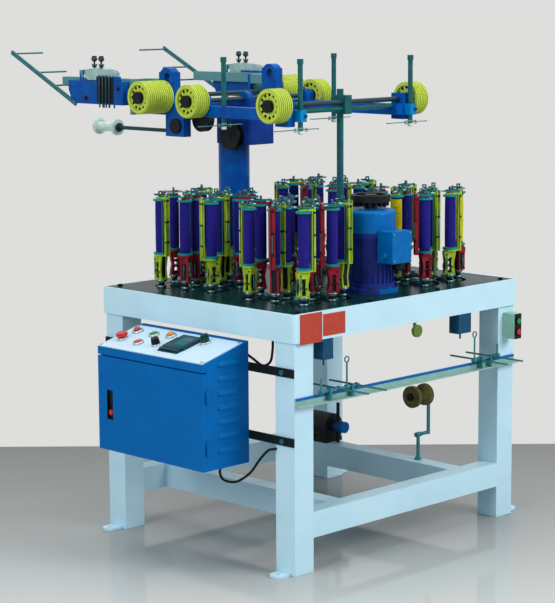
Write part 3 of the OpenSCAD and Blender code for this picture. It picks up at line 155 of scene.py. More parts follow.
# Drawn steel rod under a thin lacquer: blue-green, low gloss
teal_steel = finish("teal_tinted_drawn_steel", "#3C8C94", "#246C76", 14, 0.7, 0.32, metallic=0.4,
                    grain_mm=0.8, grain=0.06)
# Drawn steel, oiled: almost black with a blue-green shine
dark_rod = finish("dark_drawn_steel", "#0C3A44", "#082A32", 14, 0.8, 0.34, metallic=0.2,
                  grain_mm=0.8, grain=0.06, shine=0.3)
# Zinc plate on steel: pale grey-green, broken into small dull patches
bright_zinc = finish("zinc_plated_steel", "#6A9EA0", "#4A7E80", 10, 0.8, 0.36, metallic=0.7,
                     grain_mm=0.8, grain=0.08)
# Machine enamel on flat bar: grey-teal, even and half matt
beam_steel = finish("grey_teal_machine_enamel", "#5A9094", "#4C8286", 40, 0.7, 0.4,
                    grain_mm=2, grain=0.08, shine=0.3)
# Machine enamel on rolled angle: pale grey-green, even and half matt
rail_enamel = finish("grey_green_machine_enamel", "#94B8B0", "#86AAA2", 40, 0.7, 0.4,
                     grain_mm=2, grain=0.06, shine=0.25)
# Machine enamel on tube: dark teal with a narrow gloss
teal_enamel = finish("dark_teal_machine_enamel", "#125E62", "#0C4A50", 24, 0.8, 0.36,
                     grain_mm=2, grain=0.06, shine=0.2)
# Enamel with metal flake on small castings: pale grey-green, cloudy
pale_shell = finish("pale_grey_enamel", "#B0CCCC", "#7EA8A8", 30, 0.8, 0.24, metallic=0.5,
                    grain_mm=2, grain=0.05)
# Enamel on die-cast switch boxes: dark blue, half gloss
switch_enamel = finish("blue_switch_enamel", "#0C4C6C", "#083A58", 20, 0.7, 0.38,
                       grain_mm=1.4, grain=0.08, shine=0.2)
# Enamel on a small steel plate: brick red under a clear coat
red_enamel = finish("plain_red_plate", "#BC3620", "#A42C1A", 20, 0.6, 0.3,
                    grain_mm=1.0, grain=0.04, coat=0.2)
# Gloss paint on die castings: yellow-green; the leaf-green long streaks are painted shade and highlight
carrier_green = finish("yellow_green_gloss_paint", "#AEC834", "#6E9428", 12, 0.9, 0.32,
                       grain_mm=1.6, grain=0.06, stretch=(1, 1, 0.2), shine=0.2)
# Gloss paint on die castings: wine red; the darker long streaks are painted shade and highlight
carrier_red = finish("wine_red_gloss_paint", "#9C1E34", "#681022", 12, 0.9, 0.32,
                     grain_mm=1.6, grain=0.06, stretch=(1, 1, 0.2), shine=0.15)
# Moulded nylon: teal, waxy, with a soft shine
flange_teal = finish("teal_moulded_nylon", "#00868C", "#006C74", 12, 0.6, 0.36,
                     grain_mm=0.8, grain=0.04, shine=0.2)
# Turned nylon: off-white and waxy
white_nylon = finish("white_turned_nylon", "#D4E4D8", "#A8C8BC", 14, 0.8, 0.34, grain_mm=0.8, grain=0.06)
# Moulded urethane: yellow-green, even, half matt
roll_paint = finish("yellow_green_moulded_urethane", "#C2D24C", "#B4C642", 30, 0.6, 0.44,
                    grain_mm=1.4, grain=0.02, shine=0.3)
# The same urethane down in the grooves, painted darker as the shade in the grooves, and duller
roll_groove_shade = finish("shaded_urethane_groove", "#A4B830", "#98AC2A", 20, 0.6, 0.5,
                     grain_mm=1.4, grain=0.02, shine=0.3)
# Aluminium sheet, satin anodised: blue-white, drawn as a pale coat with a soft shine
panel_sheet = finish("satin_anodised_sheet", "#C8DEEE", "#BCD4E6", 60, 0.5, 0.36,
                     grain_mm=0.7, grain=0.05, shine=0.4)
# Moulded ABS: black, half matt with a fine moulded grain
black_abs = finish("black_moulded_abs", "#080D10", "#101518", 14, 0.6, 0.42,
                   grain_mm=0.6, grain=0.08, shine=0.2)
# Moulded ABS: signal red, smooth and shiny
red_abs = finish("red_moulded_abs", "#CC1E1A", "#AC1614", 10, 0.5, 0.3, grain_mm=0.6, grain=0.05)
# Moulded ABS: signal green, smooth and shiny
green_abs = finish("green_moulded_abs", "#0E8A4A", "#0A743C", 10, 0.5, 0.3, grain_mm=0.6, grain=0.05)
# Moulded ABS: grey-green and dull
grey_abs = finish("grey_moulded_abs", "#94C2B2", "#86B4A4", 20, 0.5, 0.4,
                  grain_mm=0.7, grain=0.06, shine=0.3)
# Moulded ABS: bottle green, low gloss
selector_abs = finish("dark_green_moulded_abs", "#0A4638", "#08342A", 8, 0.6, 0.36,
                      grain_mm=0.6, grain=0.06, shine=0.3)
# Moulded plastic: olive green, dull
olive_wheel = finish("olive_green_plastic", "#5C7A22", "#46601A", 9, 0.7, 0.4, grain_mm=0.7, grain=0.08)
# Moulded acrylic lens: amber under a clear gloss
amber_lens = finish("amber_lens_acrylic", "#D8881C", "#C07414", 8, 0.5, 0.14,
                    grain_mm=1.5, grain=0.08, coat=0.5)
# Moulded acrylic lens: ruby under a clear gloss
red_lens = finish("red_lens_acrylic", "#A81220", "#8A0E18", 8, 0.5, 0.14,
                  grain_mm=1.5, grain=0.08, coat=0.5)
# Acrylic window over an unlit display: flat blue-green gloss
screen_teal = finish("teal_display_window", "#0E5C68", "#0C5260", 30, 0.6, 0.2,
                     grain_mm=5, grain=0.01, shine=0.1)
# Float glass over black: blue-black with a clean gloss
display_glass = finish("dark_display_glass", "#0C3C48", "#0A3038", 30, 0.6, 0.2,
                       grain_mm=5, grain=0.01, shine=0.1)
# Chrome plate, polished: bright, cool and sharp
chrome = finish("chrome_bezel", "#C4CCD0", "#A8B2B8", 6, 0.6, 0.18, metallic=1.0,
                grain_mm=0.5, grain=0.04)
# Chrome plate, satin: pale with blurred reflections
collar_chrome = finish("satin_chrome_collar", "#C6D0D4", "#A0ACB0", 6, 0.7, 0.34, metallic=0.8,
                       grain_mm=0.5, grain=0.04)
# Pressed fibre board: tan brown, dull and fibrous
spool_board = finish("pressed_tan_fibre", "#6E6638", "#4E4A2A", 12, 0.9, 0.5,
                     grain_mm=0.9, grain=0.12, shine=0.2)
# Extruded PVC: black, half matt
cable_pvc = finish("black_pvc_sheath", "#0A0E12", "#12171A", 9, 0.6, 0.45,
                   grain_mm=0.7, grain=0.1, shine=0.2)
# Sand-cast iron in black primer: matt and coarse
gear_black = finish("black_gearmotor_casting", "#090F12", "#121A1E", 12, 0.8, 0.5,
                    grain_mm=1.5, grain=0.15, shine=0.2)

# A wave texture of scale 1 has this distance between its bands
WAVE_PITCH = 2 * math.pi / 20
# Yarn turns lie 0.4 mm apart in life and are drawn nearly twice as coarse so that they show
TURN_PITCH = 0.7641


def wound_yarn(name, base, shade):
    """Yarn wound in close turns: soft, dull and ribbed along the bobbin."""
    m = finish(name, base, shade, 5, 0.9, 0.72, grain_mm=0.4, grain=0.2, sheen=0.03, shine=0.12)
    t = m.node_tree
    place = add(t, "ShaderNodeTexCoord")
    turns = add(t, "ShaderNodeTexWave", {
        "Vector": place.outputs["Object"], "Scale": WAVE_PITCH / (TURN_PITCH * MM), "Distortion": 0.6,
        "Detail": 1.0}, bands_direction="Z")
    surface = next(n for n in t.nodes if n.type == "BSDF_PRINCIPLED")
    fuzz = next(n for n in t.nodes if n.type == "BUMP")
    ribs = add(t, "ShaderNodeBump", {"Height": turns.outputs["Fac"], "Strength": 0.5, "Distance": 0.5 * MM,
                                      "Normal": fuzz.outputs[0]})
    t.links.new(ribs.outputs[0], surface.inputs["Normal"])
    return m


# Polyester yarn: deep indigo with a faint sheen across the turns
yarn_indigo = wound_yarn("indigo_polyester_yarn", "#231C8C", "#18145E")
# Polyester yarn: warm yellow with a faint sheen across the turns
yarn_yellow = wound_yarn("yellow_polyester_yarn", "#E6D21E", "#BCA814")

# Sizes and places of the frame that several pieces need, in millimetres; CLOSE is a margin past a face
CLOSE = 0.5
TABLE_TOP = 800
APRON_FACE = -440
BAR_BACK, BAR_FACE, BAR_LEDGE, BAR_TOP, BAR_WALL = -430, -434, 525, 546, 4
CABINET_END, CABINET_BACK, CABINET_SIDE, CABINET_FLOOR = -716, -526, -241, 325
PANEL_FOOT, PANEL_SHEET = 651, 3
PANEL_LEAN = math.atan2(50, 190)
HEAD_X, HEAD_Y, GEAR_R = 280, 204, 67.5
SPOOL_Y, SPOOL_Z = -205, 405
MOTOR_Y = -260
PRESSURE_X, COMB_X = 336, 352.1


# Shapes, all in millimetres: each is a list of points and a list of faces
def lathe(profile, at=(0, 0, 0), along="z", sides=24):
    """Turns (radius, height) points about an axis through at."""
    points, faces = [], []
    for r, h in profile:
        for k in range(sides):
            a = 2 * math.pi * k / sides
            c, s = r * math.cos(a), r * math.sin(a)
            p = {"z": (c, s, h), "x": (h, c, s), "y": (s, h, c)}[along]
            points.append((p[0] + at[0], p[1] + at[1], p[2] + at[2]))
    return points, skin(len(profile), sides)


def skin(rings, sides):
    """Faces between rings of points, with a lid on the first and on the last."""
    faces = []
    for i in range(rings - 1):
        for k in range(sides):
            j = (k + 1) % sides
            faces.append((i * sides + k, i * sides + j, (i + 1) * sides + j, (i + 1) * sides + k))
    faces.append(tuple(range(sides))[::-1])
    faces.append(tuple((rings - 1) * sides + k for k in range(sides)))
    return faces


def disc(r, h0, h1, edge=1.0):
    """Profile of a disc with rounded rims."""
    e = min(edge, r * 0.4, (h1 - h0) * 0.4)
    half = 0.3 * e
    return [(r - e, h0), (r - half, h0 + half), (r, h0 + e), (r, h1 - e), (r - half, h1 - half), (r - e, h1)]


def slab(outline, low, high, along="z"):
    """Extrudes an outline; along x the outline is (y, z), along y it is (x, z)."""
    n = len(outline)
    put = {"z": lambda a, b, h: (a, b, h),
           "x": lambda a, b, h: (h, a, b),
           "y": lambda a, b, h: (a, -h, b)}[along]
    if along == "y":
        low, high = -high, -low
    points = [put(a, b, h) for h in (low, high) for a, b in outline]
    faces = [tuple(range(n))[::-1], tuple(range(n, 2 * n))]
    faces += [(k, (k + 1) % n, n + (k + 1) % n, n + k) for k in range(n)]
    return points, faces


def block(a, b, edge=0.0):
    """A block between two corners, its upright edges cut by edge."""
    (x0, x1), (y0, y1), (z0, z1) = (sorted(pair) for pair in zip(a, b))
    e = edge
    ring = [(x0, y0), (x1, y0), (x1, y1), (x0, y1)]
    if e:
        ring = [(x0 + e, y0), (x1 - e, y0), (x1, y0 + e), (x1, y1 - e),
                (x1 - e, y1), (x0 + e, y1), (x0, y1 - e), (x0, y0 + e)]
    return slab(ring, z0, z1)


def wire(route, r, sides=8):
    """A round wire along points."""
    route = [Vector(p) for p in route]
    points = []
    side = (route[1] - route[0]).normalized().orthogonal().normalized()
    for i, p in enumerate(route):
        a, b = route[max(i - 1, 0)], route[min(i + 1, len(route) - 1)]
        heading = (b - a).normalized()
        side = (side - side.dot(heading) * heading).normalized()
        other = heading.cross(side)
        for k in range(sides):
            t = 2 * math.pi * k / sides
            points.append(tuple(p + r * (math.cos(t) * side + math.sin(t) * other)))
    return points, skin(len(route), sides)


def coil(at, r, low, high, turns, steps=12):
    """Centreline of a coil spring standing on at."""
    n = int(turns * steps)
    return [(at[0] + r * math.cos(2 * math.pi * i / steps), at[1] + r * math.sin(2 * math.pi * i / steps),
             at[2] + low + (high - low) * i / n) for i in range(n + 1)]


def hoop(at, r, along="z", steps=20):
    """Centreline of a ring."""
    out = []
    for i in range(steps + 1):
        c, s = r * math.cos(2 * math.pi * i / steps), r * math.sin(2 * math.pi * i / steps)
        p = {"z": (c, s, 0), "x": (0, c, s)}[along]
        out.append((p[0] + at[0], p[1] + at[1], p[2] + at[2]))
    return out


def nut(at, r, h, along="z"):
    """Hexagon head or nut standing on at."""
    ring = [(r * math.cos(math.radians(60 * k)), r * math.sin(math.radians(60 * k))) for k in range(6)]
    points, faces = slab(ring, min(0, h), max(0, h), along)
    return [(x + at[0], y + at[1], z + at[2]) for x, y, z in points], faces


def turned(shape, angle=0.0, shift=(0, 0, 0)):
    """A shape turned about z, then shifted."""
    c, s = math.cos(math.radians(angle)), math.sin(math.radians(angle))
    points = [(x * c - y * s + shift[0], x * s + y * c + shift[1], z + shift[2]) for x, y, z in shape[0]]
    return points, shape[1]


PIECE_SHARP, FRAME_SHARP, BEVEL_FROM = (math.radians(a) for a in (38, 35, 50))


def piece(name, shapes, body, edge=0.0):
    """One object from (shape, material) pairs, riding on a body."""
    points, faces, finishes, slots = [], [], [], []
    for shape, material in shapes:
        if material not in slots:
            slots.append(material)
        shift = len(points)
        points += [(x * MM, y * MM, z * MM) for x, y, z in shape[0]]
        faces += [tuple(i + shift for i in f) for f in shape[1]]
        finishes += [slots.index(material)] * len(shape[1])
    mesh = bpy.data.meshes.new(name)
    mesh.from_pydata(points, [], faces)
    for m in slots:
        mesh.materials.append(m)
    mesh.polygons.foreach_set("material_index", finishes)
    mesh.polygons.foreach_set("use_smooth", [True] * len(faces))
    mesh.set_sharp_from_angle(angle=PIECE_SHARP)
    o = bpy.data.objects.new(name, mesh)
    bpy.context.scene.collection.objects.link(o)
    if edge:
        bevel = o.modifiers.new("edge", "BEVEL")
        bevel.width = edge * MM
        bevel.segments = 2
        bevel.limit_method = "ANGLE"
        bevel.angle_limit = BEVEL_FROM
    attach(o, body)
    return o


def dress(name, *finishes, choose=None):
    """Gives a frame node its materials; choose picks one by a face's centre in millimetres."""
    mesh = nodes[name].data
    mesh.materials.clear()
    for m in finishes:
        mesh.materials.append(m)
    for p in mesh.polygons:
        p.use_smooth = True
        p.material_index = choose(*(p.center / MM)) if choose else 0
    mesh.set_sharp_from_angle(angle=FRAME_SHARP)


# Cables: the same routes as the frame's own
CABLE_R = 4


def smooth_route(route, n=8):
    """A curve through the route's points, n steps for each stretch."""
    p = [Vector(q) for q in route]
    out = []
    for i in range(len(p) - 1):
        a, b, c, d = p[max(i - 1, 0)], p[i], p[i + 1], p[min(i + 2, len(p) - 1)]
        for j in range(n):
            t = j / n
            out.append(b + (c - a) * t / 2 + (2 * a - 5 * b + 4 * c - d) * t * t / 2
                       + (3 * b - a - 3 * c + d) * t ** 3 / 2)
    return out + [p[-1]]


def run_cable(name, route, r, node):
    """A cable on its route, in place of the frame's own cable node, which it hides."""
    line = smooth_route(route)
    o = piece(name, [(wire(line, r, 12), cable_pvc)], "frame")
    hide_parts(node)


run_cable("cabinet_lead", [(-600, -190, 311), (-600, -190, 290), (-590, -200, 272), (-570, -230, 270),
                           (-552, -270, 300), (-546, -310, 350), (-542, -340, 380), (-534, -352, 384),
                           (-520, -352, 384)], CABLE_R, "cabinet_cable")
run_cable("supply_lead", [(-512, -190, 655), (-495, -190, 655), (-470, -200, 635), (-455, -230, 614),
                          (-450, -258, 628), (-450, -268, 664), (-450, -270, 700), (-450, -270, 722)],
          CABLE_R, "supply_cable")


# Table, stop bar and cabinet straps
for name in ("legs", "lower_rails", "apron"):
    dress(name, frame_enamel)
dress("bed_plate", bed_black)
dress("track_plate", plate_enamel, track_steel, choose=lambda x, y, z: 0 if z > TABLE_TOP - 1 else 1)
# The forks' ears stand in front of the bar
dress("stop_bar", rail_enamel, teal_steel,
      choose=lambda x, y, z: 1 if y < BAR_FACE - BAR_WALL / 2 and z > BAR_LEDGE + CLOSE else 0)
# The straps' bolt heads lie within the cabinet
dress("cabinet_straps", bed_black, blued_steel, choose=lambda x, y, z: 1 if x < CABINET_BACK - 0.1 else 0)


# Cabinet, its glands, its door, its panel and what stands on the panel
def above_panel(x, z):
    """Height over the cabinet's sloping panel, along its own square."""
    return (z - PANEL_FOOT) * math.cos(PANEL_LEAN) - (x - CABINET_END) * math.sin(PANEL_LEAN) - PANEL_SHEET


def inside(place, box):
    """Whether a place lies in a box given by its span on each axis."""
    return all(low < v < high for v, (low, high) in zip(place, box))


HANDLE_RECESS = ((-715.5, -703), (168, 204), (421, 521))
DISPLAY_SIDES = (-103, 5)
LAMP_COLLAR_TOP = 6.6
dress("cabinet_body", cabinet_coat, black_abs,
      choose=lambda x, y, z: 1 if z < CABINET_FLOOR - CLOSE or x > CABINET_BACK + CLOSE else 0)
dress("cabinet_door", cabinet_coat, black_abs,
      choose=lambda x, y, z: 1 if inside((x, y, z), HANDLE_RECESS) else 0)
dress("cabinet_panel", panel_sheet, display_glass, chrome, choose=lambda x, y, z: (
    0 if above_panel(x, z) < 0.05 else 1 if DISPLAY_SIDES[0] < y < DISPLAY_SIDES[1] else 2))
dress("panel_lamps", red_lens, amber_lens, chrome, choose=lambda x, y, z: (
    2 if above_panel(x, z) < LAMP_COLLAR_TOP else 0 if y > 100 else 1))
dress("emergency_stop", red_abs)
dress("start_button", green_abs)
dress("stop_button", red_abs)
dress("speed_knob", black_abs)
dress("mode_selector", selector_abs)

# Motor with its cowl and terminal box, handwheel over its shaft, and the drive
COWL_FOOT, MOTOR_FRONT, WHEEL_FOOT = 990, -338, 1000
dress("motor_body", motor_coat, cowl_coat,
      choose=lambda x, y, z: 1 if z > COWL_FOOT or y < MOTOR_FRONT else 0)
dress("handwheel", black_abs, turned_steel, choose=lambda x, y, z: 0 if z > WHEEL_FOOT else 1)
dress("bull_gear", track_steel)

# Take-up: column, gearbox, arms, beams and rolls
GEARBOX_SIDE, GEARBOX_TOP = 57.5, 1393.5
ARM_SIDE, ARM_END, ARM_FOOT = 254, 512, 1381
ROLLER_ROD_Y, ROLLER_ROD_X, ROLLER_ROD_TOP = 425.5, -200, 1310
BLACK_DISC = ((-math.inf, -254.5), (340, 400), (-math.inf, 1336))
COVER_X, COVER_Y, COVER_Z, COVER_R, COVER_TOP = (-222.2, -190), 290, 1335, 42.5, 1344.9
FRONT_CLAMP = -175.5


def arm_finish(x, y, z):
    """End plates, roller rod, black disc and cover, front clamps, and the castings between."""
    if y > ARM_END and z > ARM_FOOT and abs(x) > ARM_SIDE:
        return 4
    if y > ROLLER_ROD_Y and x < ROLLER_ROD_X and z < ROLLER_ROD_TOP:
        return 1
    if inside((x, y, z), BLACK_DISC):
        return 2
    if COVER_X[0] < x < COVER_X[1] and math.hypot(y - COVER_Y, z - COVER_Z) < COVER_R and z < COVER_TOP:
        return 2
    return 3 if y < FRONT_CLAMP else 0


BEAM_BAR = ((-320.1, 320.1), (-math.inf, math.inf), (1429.9, 1462.1))
HINGE_PIN = ((-math.inf, math.inf), (735.7, 744.3), (1475.5, 1484.5))
COMB_PIN_TOP = 1375.9
KNOB_FOOT = 1499


def beam_finish(x, y, z):
    """Flat bars, hinge pins and comb pins in grey-teal, the castings blue."""
    return 1 if inside((x, y, z), BEAM_BAR) or inside((x, y, z), HINGE_PIN) or z < COMB_PIN_TOP else 0


dress("column", casting_blue)
dress("gearbox", casting_indigo, casting_blue, black_abs, choose=lambda x, y, z: (
    2 if x < -GEARBOX_SIDE else 1 if abs(x) > GEARBOX_SIDE or z > GEARBOX_TOP else 0))
dress("takeup_arms", casting_blue, dark_rod, black_abs, clamp_blue, beam_steel, choose=arm_finish)
dress("rear_beams", casting_blue, beam_steel, choose=beam_finish)
dress("braid_racks", blued_steel)
for side in ("left", "right"):
    dress(f"pressure_arm_{side}", pale_shell, bed_black,
          choose=lambda x, y, z: 1 if z > KNOB_FOOT else 0)

# Rolls: (axis y, axis z, inner end, outer end); each has a hub, a dished web with holes and a grooved rim
ROLLS = {"front_rolls": (-149, 1396, 289, 347), "middle_rolls": (257, 1396, 258, 316),
         "rear_rolls": (430, 1405, 258, 370)}
DISH, HUB_R, HOLES_R, RIM_R, ROLL_R, SLIP = 8, 20.4, 41, 45, 53.4, 0.1
for name, (axis_y, axis_z, inner, outer) in ROLLS.items():
    def roll_face(x, y, z, axis_y=axis_y, axis_z=axis_z, inner=inner, outer=outer):
        r = math.hypot(y - axis_y, z - axis_z)
        if abs(x) < inner - DISH - SLIP or abs(x) > outer + SLIP and r > HUB_R:
            return 1
        if r < HUB_R:
            return 3
        if inner + DISH + SLIP < abs(x) < outer - DISH - SLIP and r < HOLES_R:
            return 1
        # Faces in the grooves take the darker urethane: painted shade
        return 2 if RIM_R < r < ROLL_R and inner + SLIP < abs(x) < outer - SLIP else 0
    dress(name, roll_paint, dark_rod, roll_groove_shade, black_abs, choose=roll_face)
dress("guide_roller", white_nylon)
dress("takeup_wheel", black_abs)

# Guides over the table and the stop motion under it
GUIDE_WIRE = (1317, 1323)
WHEEL_SIDE, STATION_FACE, SPOOL_BORE, SPOOL_PIN, SPOOL_PIN_END, GEARMOTOR_END = 100, -479.9, 12, 14, 264, 150
dress("guide_post", teal_enamel)
dress("guide_rods", teal_enamel, bright_zinc,
      choose=lambda x, y, z: 1 if GUIDE_WIRE[0] < z < GUIDE_WIRE[1] else 0)
dress("stop_fork_left", teal_steel)
dress("stop_fork_right", teal_steel)
dress("switch_boxes", switch_enamel, olive_wheel, choose=lambda x, y, z: 1 if abs(x) < WHEEL_SIDE else 0)
dress("station_box", grey_abs, black_abs, choose=lambda x, y, z: 1 if y < STATION_FACE else 0)
dress("station_start", green_abs)
dress("station_stop", red_abs)
dress("supply_spool", spool_board, black_abs,
      choose=lambda x, y, z: 1 if math.hypot(y - SPOOL_Y, z - SPOOL_Z) < SPOOL_BORE else 0)
dress("rail_fittings", teal_steel, gear_black, cabinet_coat, choose=lambda x, y, z: (
    1 if math.hypot(y - SPOOL_Y, z - SPOOL_Z) < SPOOL_PIN and x < SPOOL_PIN_END else
    0 if y < 0 else 2 if y < GEARMOTOR_END else 1))

# Heads: which way each lies from the middle, and the gear nearest the middle
HEADS = {"front": (-1, -1, 1), "left": (-1, 1, 4), "right": (1, -1, 2), "back": (1, 1, 3)}
GEARS_EACH, CARRIERS_EACH = 4, 3
# Degrees from a gear's own direction to its first carrier, on odd and on even gears
FIRST_CARRIER = {1: 18, 0: 42}


def slots_of(head, k):
    """Places and headings of a gear's three carriers, its way round and its own place."""
    hx, hy, inner = HEADS[head]
    ring = 45 + 90 * (k - 1)
    gx = hx * HEAD_X + GEAR_R * (1 if math.cos(math.radians(ring)) > 0 else -1)
    gy = hy * HEAD_Y + GEAR_R * (1 if math.sin(math.radians(ring)) > 0 else -1)
    way = -1 if (k - inner + GEARS_EACH) % GEARS_EACH % 2 == 0 else 1
    out = []
    for m in range(CARRIERS_EACH):
        a = ring + FIRST_CARRIER[k % 2] + 120 * m
        t = math.radians(a)
        out.append((gx + GEAR_R * math.cos(t), gy + GEAR_R * math.sin(t), a + 90 * way))
    return out, way, (gx, gy)


# A carrier stands with its column toward -x; heights count from the table top
CHEEK_FOOT, CHEEK_TOP, CHEEK_IN, CHEEK_OUT, CHEEK_PIN, LATCH_OUT = 28, 103, 8.2, 13.5, 15.2, 15.4
RAIL_X, RAIL_IN, RAIL_OUT, RAIL_FOOT, RAIL_TOP = (-36.4, -31), 6.2, 8.6, 104, 302
ARM_LEVEL = 290
# Side view of a cheek: two legs under one bridge
CHEEK = [(-15, CHEEK_FOOT), (-5, CHEEK_FOOT), (-1, 56), (-3, 84), (11, 84), (8, 56), (12, CHEEK_FOOT),
         (21, CHEEK_FOOT), (17, 62), (22, 95), (22, CHEEK_TOP), (-16, CHEEK_TOP), (-16, 95), (-10, 62)]
# Side view of the latch on a cheek
LATCH = [(-9, 50), (6, 56), (17, 51), (18, 55), (7, 61), (-8, 54)]
# Plans of the top arm, its nylon cover, the spring lever and the black finger
ARM_PLAN = [(-36, -9), (8, -9), (16, -5), (18, 0), (16, 5), (8, 9), (-36, 9)]
COVER_PLAN = [(-34, -4), (14, -6), (28, -3), (28, 3), (14, 6), (-34, 4)]
LEVER_PLAN = [(-20, -13), (4, -15), (12, -8), (12, -5), (2, -9), (-20, -9)]
FINGER_PLAN = [(-31, 4), (-27, -2), (16, 2), (25, 7), (24, 10), (14, 6), (-27, 3), (-30, 7)]


def cross_pin(r, half, x, z):
    """A pin through the carrier from side to side."""
    return lathe(disc(r, -half, half, 0.8), at=(x, 0, z), along="y", sides=12)


def carrier_base(colour):
    """Foot, guide collar, the two cheeks and what works between and beside them."""
    return [
        (lathe(disc(15, 0.6, 7.5, 2)), turned_steel),
        (lathe(disc(9.4, 8, 17.5, 1)), bed_black),
        (lathe(disc(19, 22.5, 27.6, 1.6)), turned_steel),
        (lathe(disc(13, 18, 22, 1.2)), bright_zinc),
        (slab(CHEEK, CHEEK_IN, CHEEK_OUT, "y"), colour),
        (slab(CHEEK, -CHEEK_OUT, -CHEEK_IN, "y"), colour),
        (block((-14, -CHEEK_OUT, CHEEK_FOOT - 0.1), (21, CHEEK_OUT, CHEEK_FOOT + 5), 4), colour),
        (block((18.3, -8.1, 84), (21.6, 8.1, CHEEK_TOP)), colour),
        (wire([(20, 0, 38), (23.5, 0, 54), (20, 0, 70), (22, 0, 80)], 2), blued_steel),
        (wire(coil((14, 16, 0), 2.4, 44, 88, 12, 8), 0.9, 5), bright_zinc),
        (cross_pin(4.2, 15.5, 4, 74), bed_black),
        (cross_pin(3.2, CHEEK_PIN, 14, 93), bed_black),
        (slab(LATCH, -LATCH_OUT, -13.7, "y"), bed_black),
        (slab(LATCH, 13.7, LATCH_OUT, "y"), bed_black),
    ]


def carrier_column(colour):
    """Two rails with rollers, a spring between them and dark strips behind."""
    rollers = [(cross_pin(3.6, 9.6, -33, z), bed_black) for z in (150, 216, 284)]
    return [
        (block((RAIL_X[0], -RAIL_OUT, RAIL_FOOT), (RAIL_X[1], -RAIL_IN, RAIL_TOP)), colour),
        (block((RAIL_X[0], RAIL_IN, RAIL_FOOT), (RAIL_X[1], RAIL_OUT, RAIL_TOP)), colour),
        *rollers,
        (wire(coil((-36, 0, 0), 2.4, 156, 210, 20, 8), 0.6, 5), bright_zinc),
        (block((RAIL_X[1], -8.8, 112), (-29.5, -7, ARM_LEVEL)), bed_black),
        (block((RAIL_X[1], 7, 112), (-29.5, 8.8, ARM_LEVEL)), bed_black),
    ]


def carrier_head(colour):
    """Top arm with its cover, spring lever, eyelets, finger, nut and pin, and the rod beside the bobbin."""
    return [
        (slab(ARM_PLAN, ARM_LEVEL, 292), colour),
        (slab(COVER_PLAN, 298, 301), flange_teal),
        (slab(LEVER_PLAN, 293, 297), blued_steel),
        (wire(hoop((26, 0, 303), 4.2), 1.3), white_nylon),
        (wire(hoop((0, 0, 307), 5, "x"), 1.6), blued_steel),
        (slab(FINGER_PLAN, 302, 304), bed_black),
        (nut((10, 0, 301), 5, 5), turned_steel),
        (lathe(disc(4, 296, 306, 1), at=(-29, 0, 0), sides=12), turned_steel),
        (wire([(-22, 12, 112), (-22, 12, 288)], 1.6), blued_steel),
    ]


def carrier_trim(colour):
    """What a carrier carries besides its casting."""
    return carrier_base(colour) + carrier_column(colour) + carrier_head(colour)


def bobbin_trim(yarn):
    """Wound yarn between rounded flanges."""
    body = [(9.5, 117.5), (16.4, 119), (17.2, 124), (17.5, 150), (17.6, 200), (17.5, 248), (17.2, 276),
            (16.4, 280), (9.5, 281.5)]
    flange_r = 24.3
    return [(lathe(body, sides=32), yarn),
            (lathe(disc(flange_r, 110.4, 116.8, 2.4), sides=32), flange_teal),
            (lathe(disc(flange_r, 281.8, 288.2, 2.4), sides=32), flange_teal)]


# Carriers by (head, gear, place): those with yellow yarn, those painted unlike their gear, the loose bobbin
YELLOW = {("right", 3, 2), ("right", 4, 0)}
SWAPPED = {("left", 2, 0), ("left", 3, 2), ("front", 2, 2), ("front", 3, 0), ("front", 4, 2), ("right", 3, 0),
           ("right", 4, 2)}
LOOSE_BOBBIN = ("front", 3, 0)
# Heights in the frame where a carrier's finish changes
FOOT_TOP, COLLAR, CHEEKS, HEAD_FOOT = 828.6, (808, 821.5), 903.8, 1094.8
BOBBIN, BARREL, BOBBIN_R = (910.2, 1088.5), (918.4, 1080.2), 24.05
for head in HEADS:
    for k in range(1, GEARS_EACH + 1):
        places, way, _ = slots_of(head, k)
        paints = [(carrier_green, carrier_red)[(way < 0) != ((head, k, m) in SWAPPED)]
                  for m in range(CARRIERS_EACH)]

        def carrier_face(x, y, z, places=places, paints=paints):
            r, m = min((math.hypot(x - px, y - py), m) for m, (px, py, _) in enumerate(places))
            if z < TABLE_TOP - 1:
                return 0
            if z < FOOT_TOP:
                return 6 if COLLAR[0] < z < COLLAR[1] else 1
            if z < CHEEKS:
                return 6
            if z > HEAD_FOOT:
                return 7
            if BOBBIN[0] < z < BOBBIN[1] and r < BOBBIN_R:
                return 5 if BARREL[0] <= z <= BARREL[1] else 4
            return 2 if paints[m] == carrier_green else 3
        dress(f"{head}_gear_{k}", track_steel, turned_steel, carrier_green, carrier_red, flange_teal,
              yarn_indigo, bed_black, blued_steel, choose=carrier_face)
        shapes = []
        for m, (px, py, turn) in enumerate(places):
            spot = (px, py, TABLE_TOP)
            shapes += [(turned(shape, turn, spot), material) for shape, material in carrier_trim(paints[m])]
            yarn = yarn_yellow if (head, k, m) in YELLOW else yarn_indigo
            wound = [(turned(shape, turn, spot), material) for shape, material in bobbin_trim(yarn)]
            if (head, k, m) == LOOSE_BOBBIN:
                piece("front_bobbin_winding", wound, "front_bobbin_body")
            else:
                shapes += wound
        piece(f"{head}_carriers_{k}", shapes, f"{head}_gear_{k}_body")
dress("front_bobbin", flange_teal, yarn_indigo,
      choose=lambda x, y, z: 1 if BARREL[0] <= z <= BARREL[1] else 0)

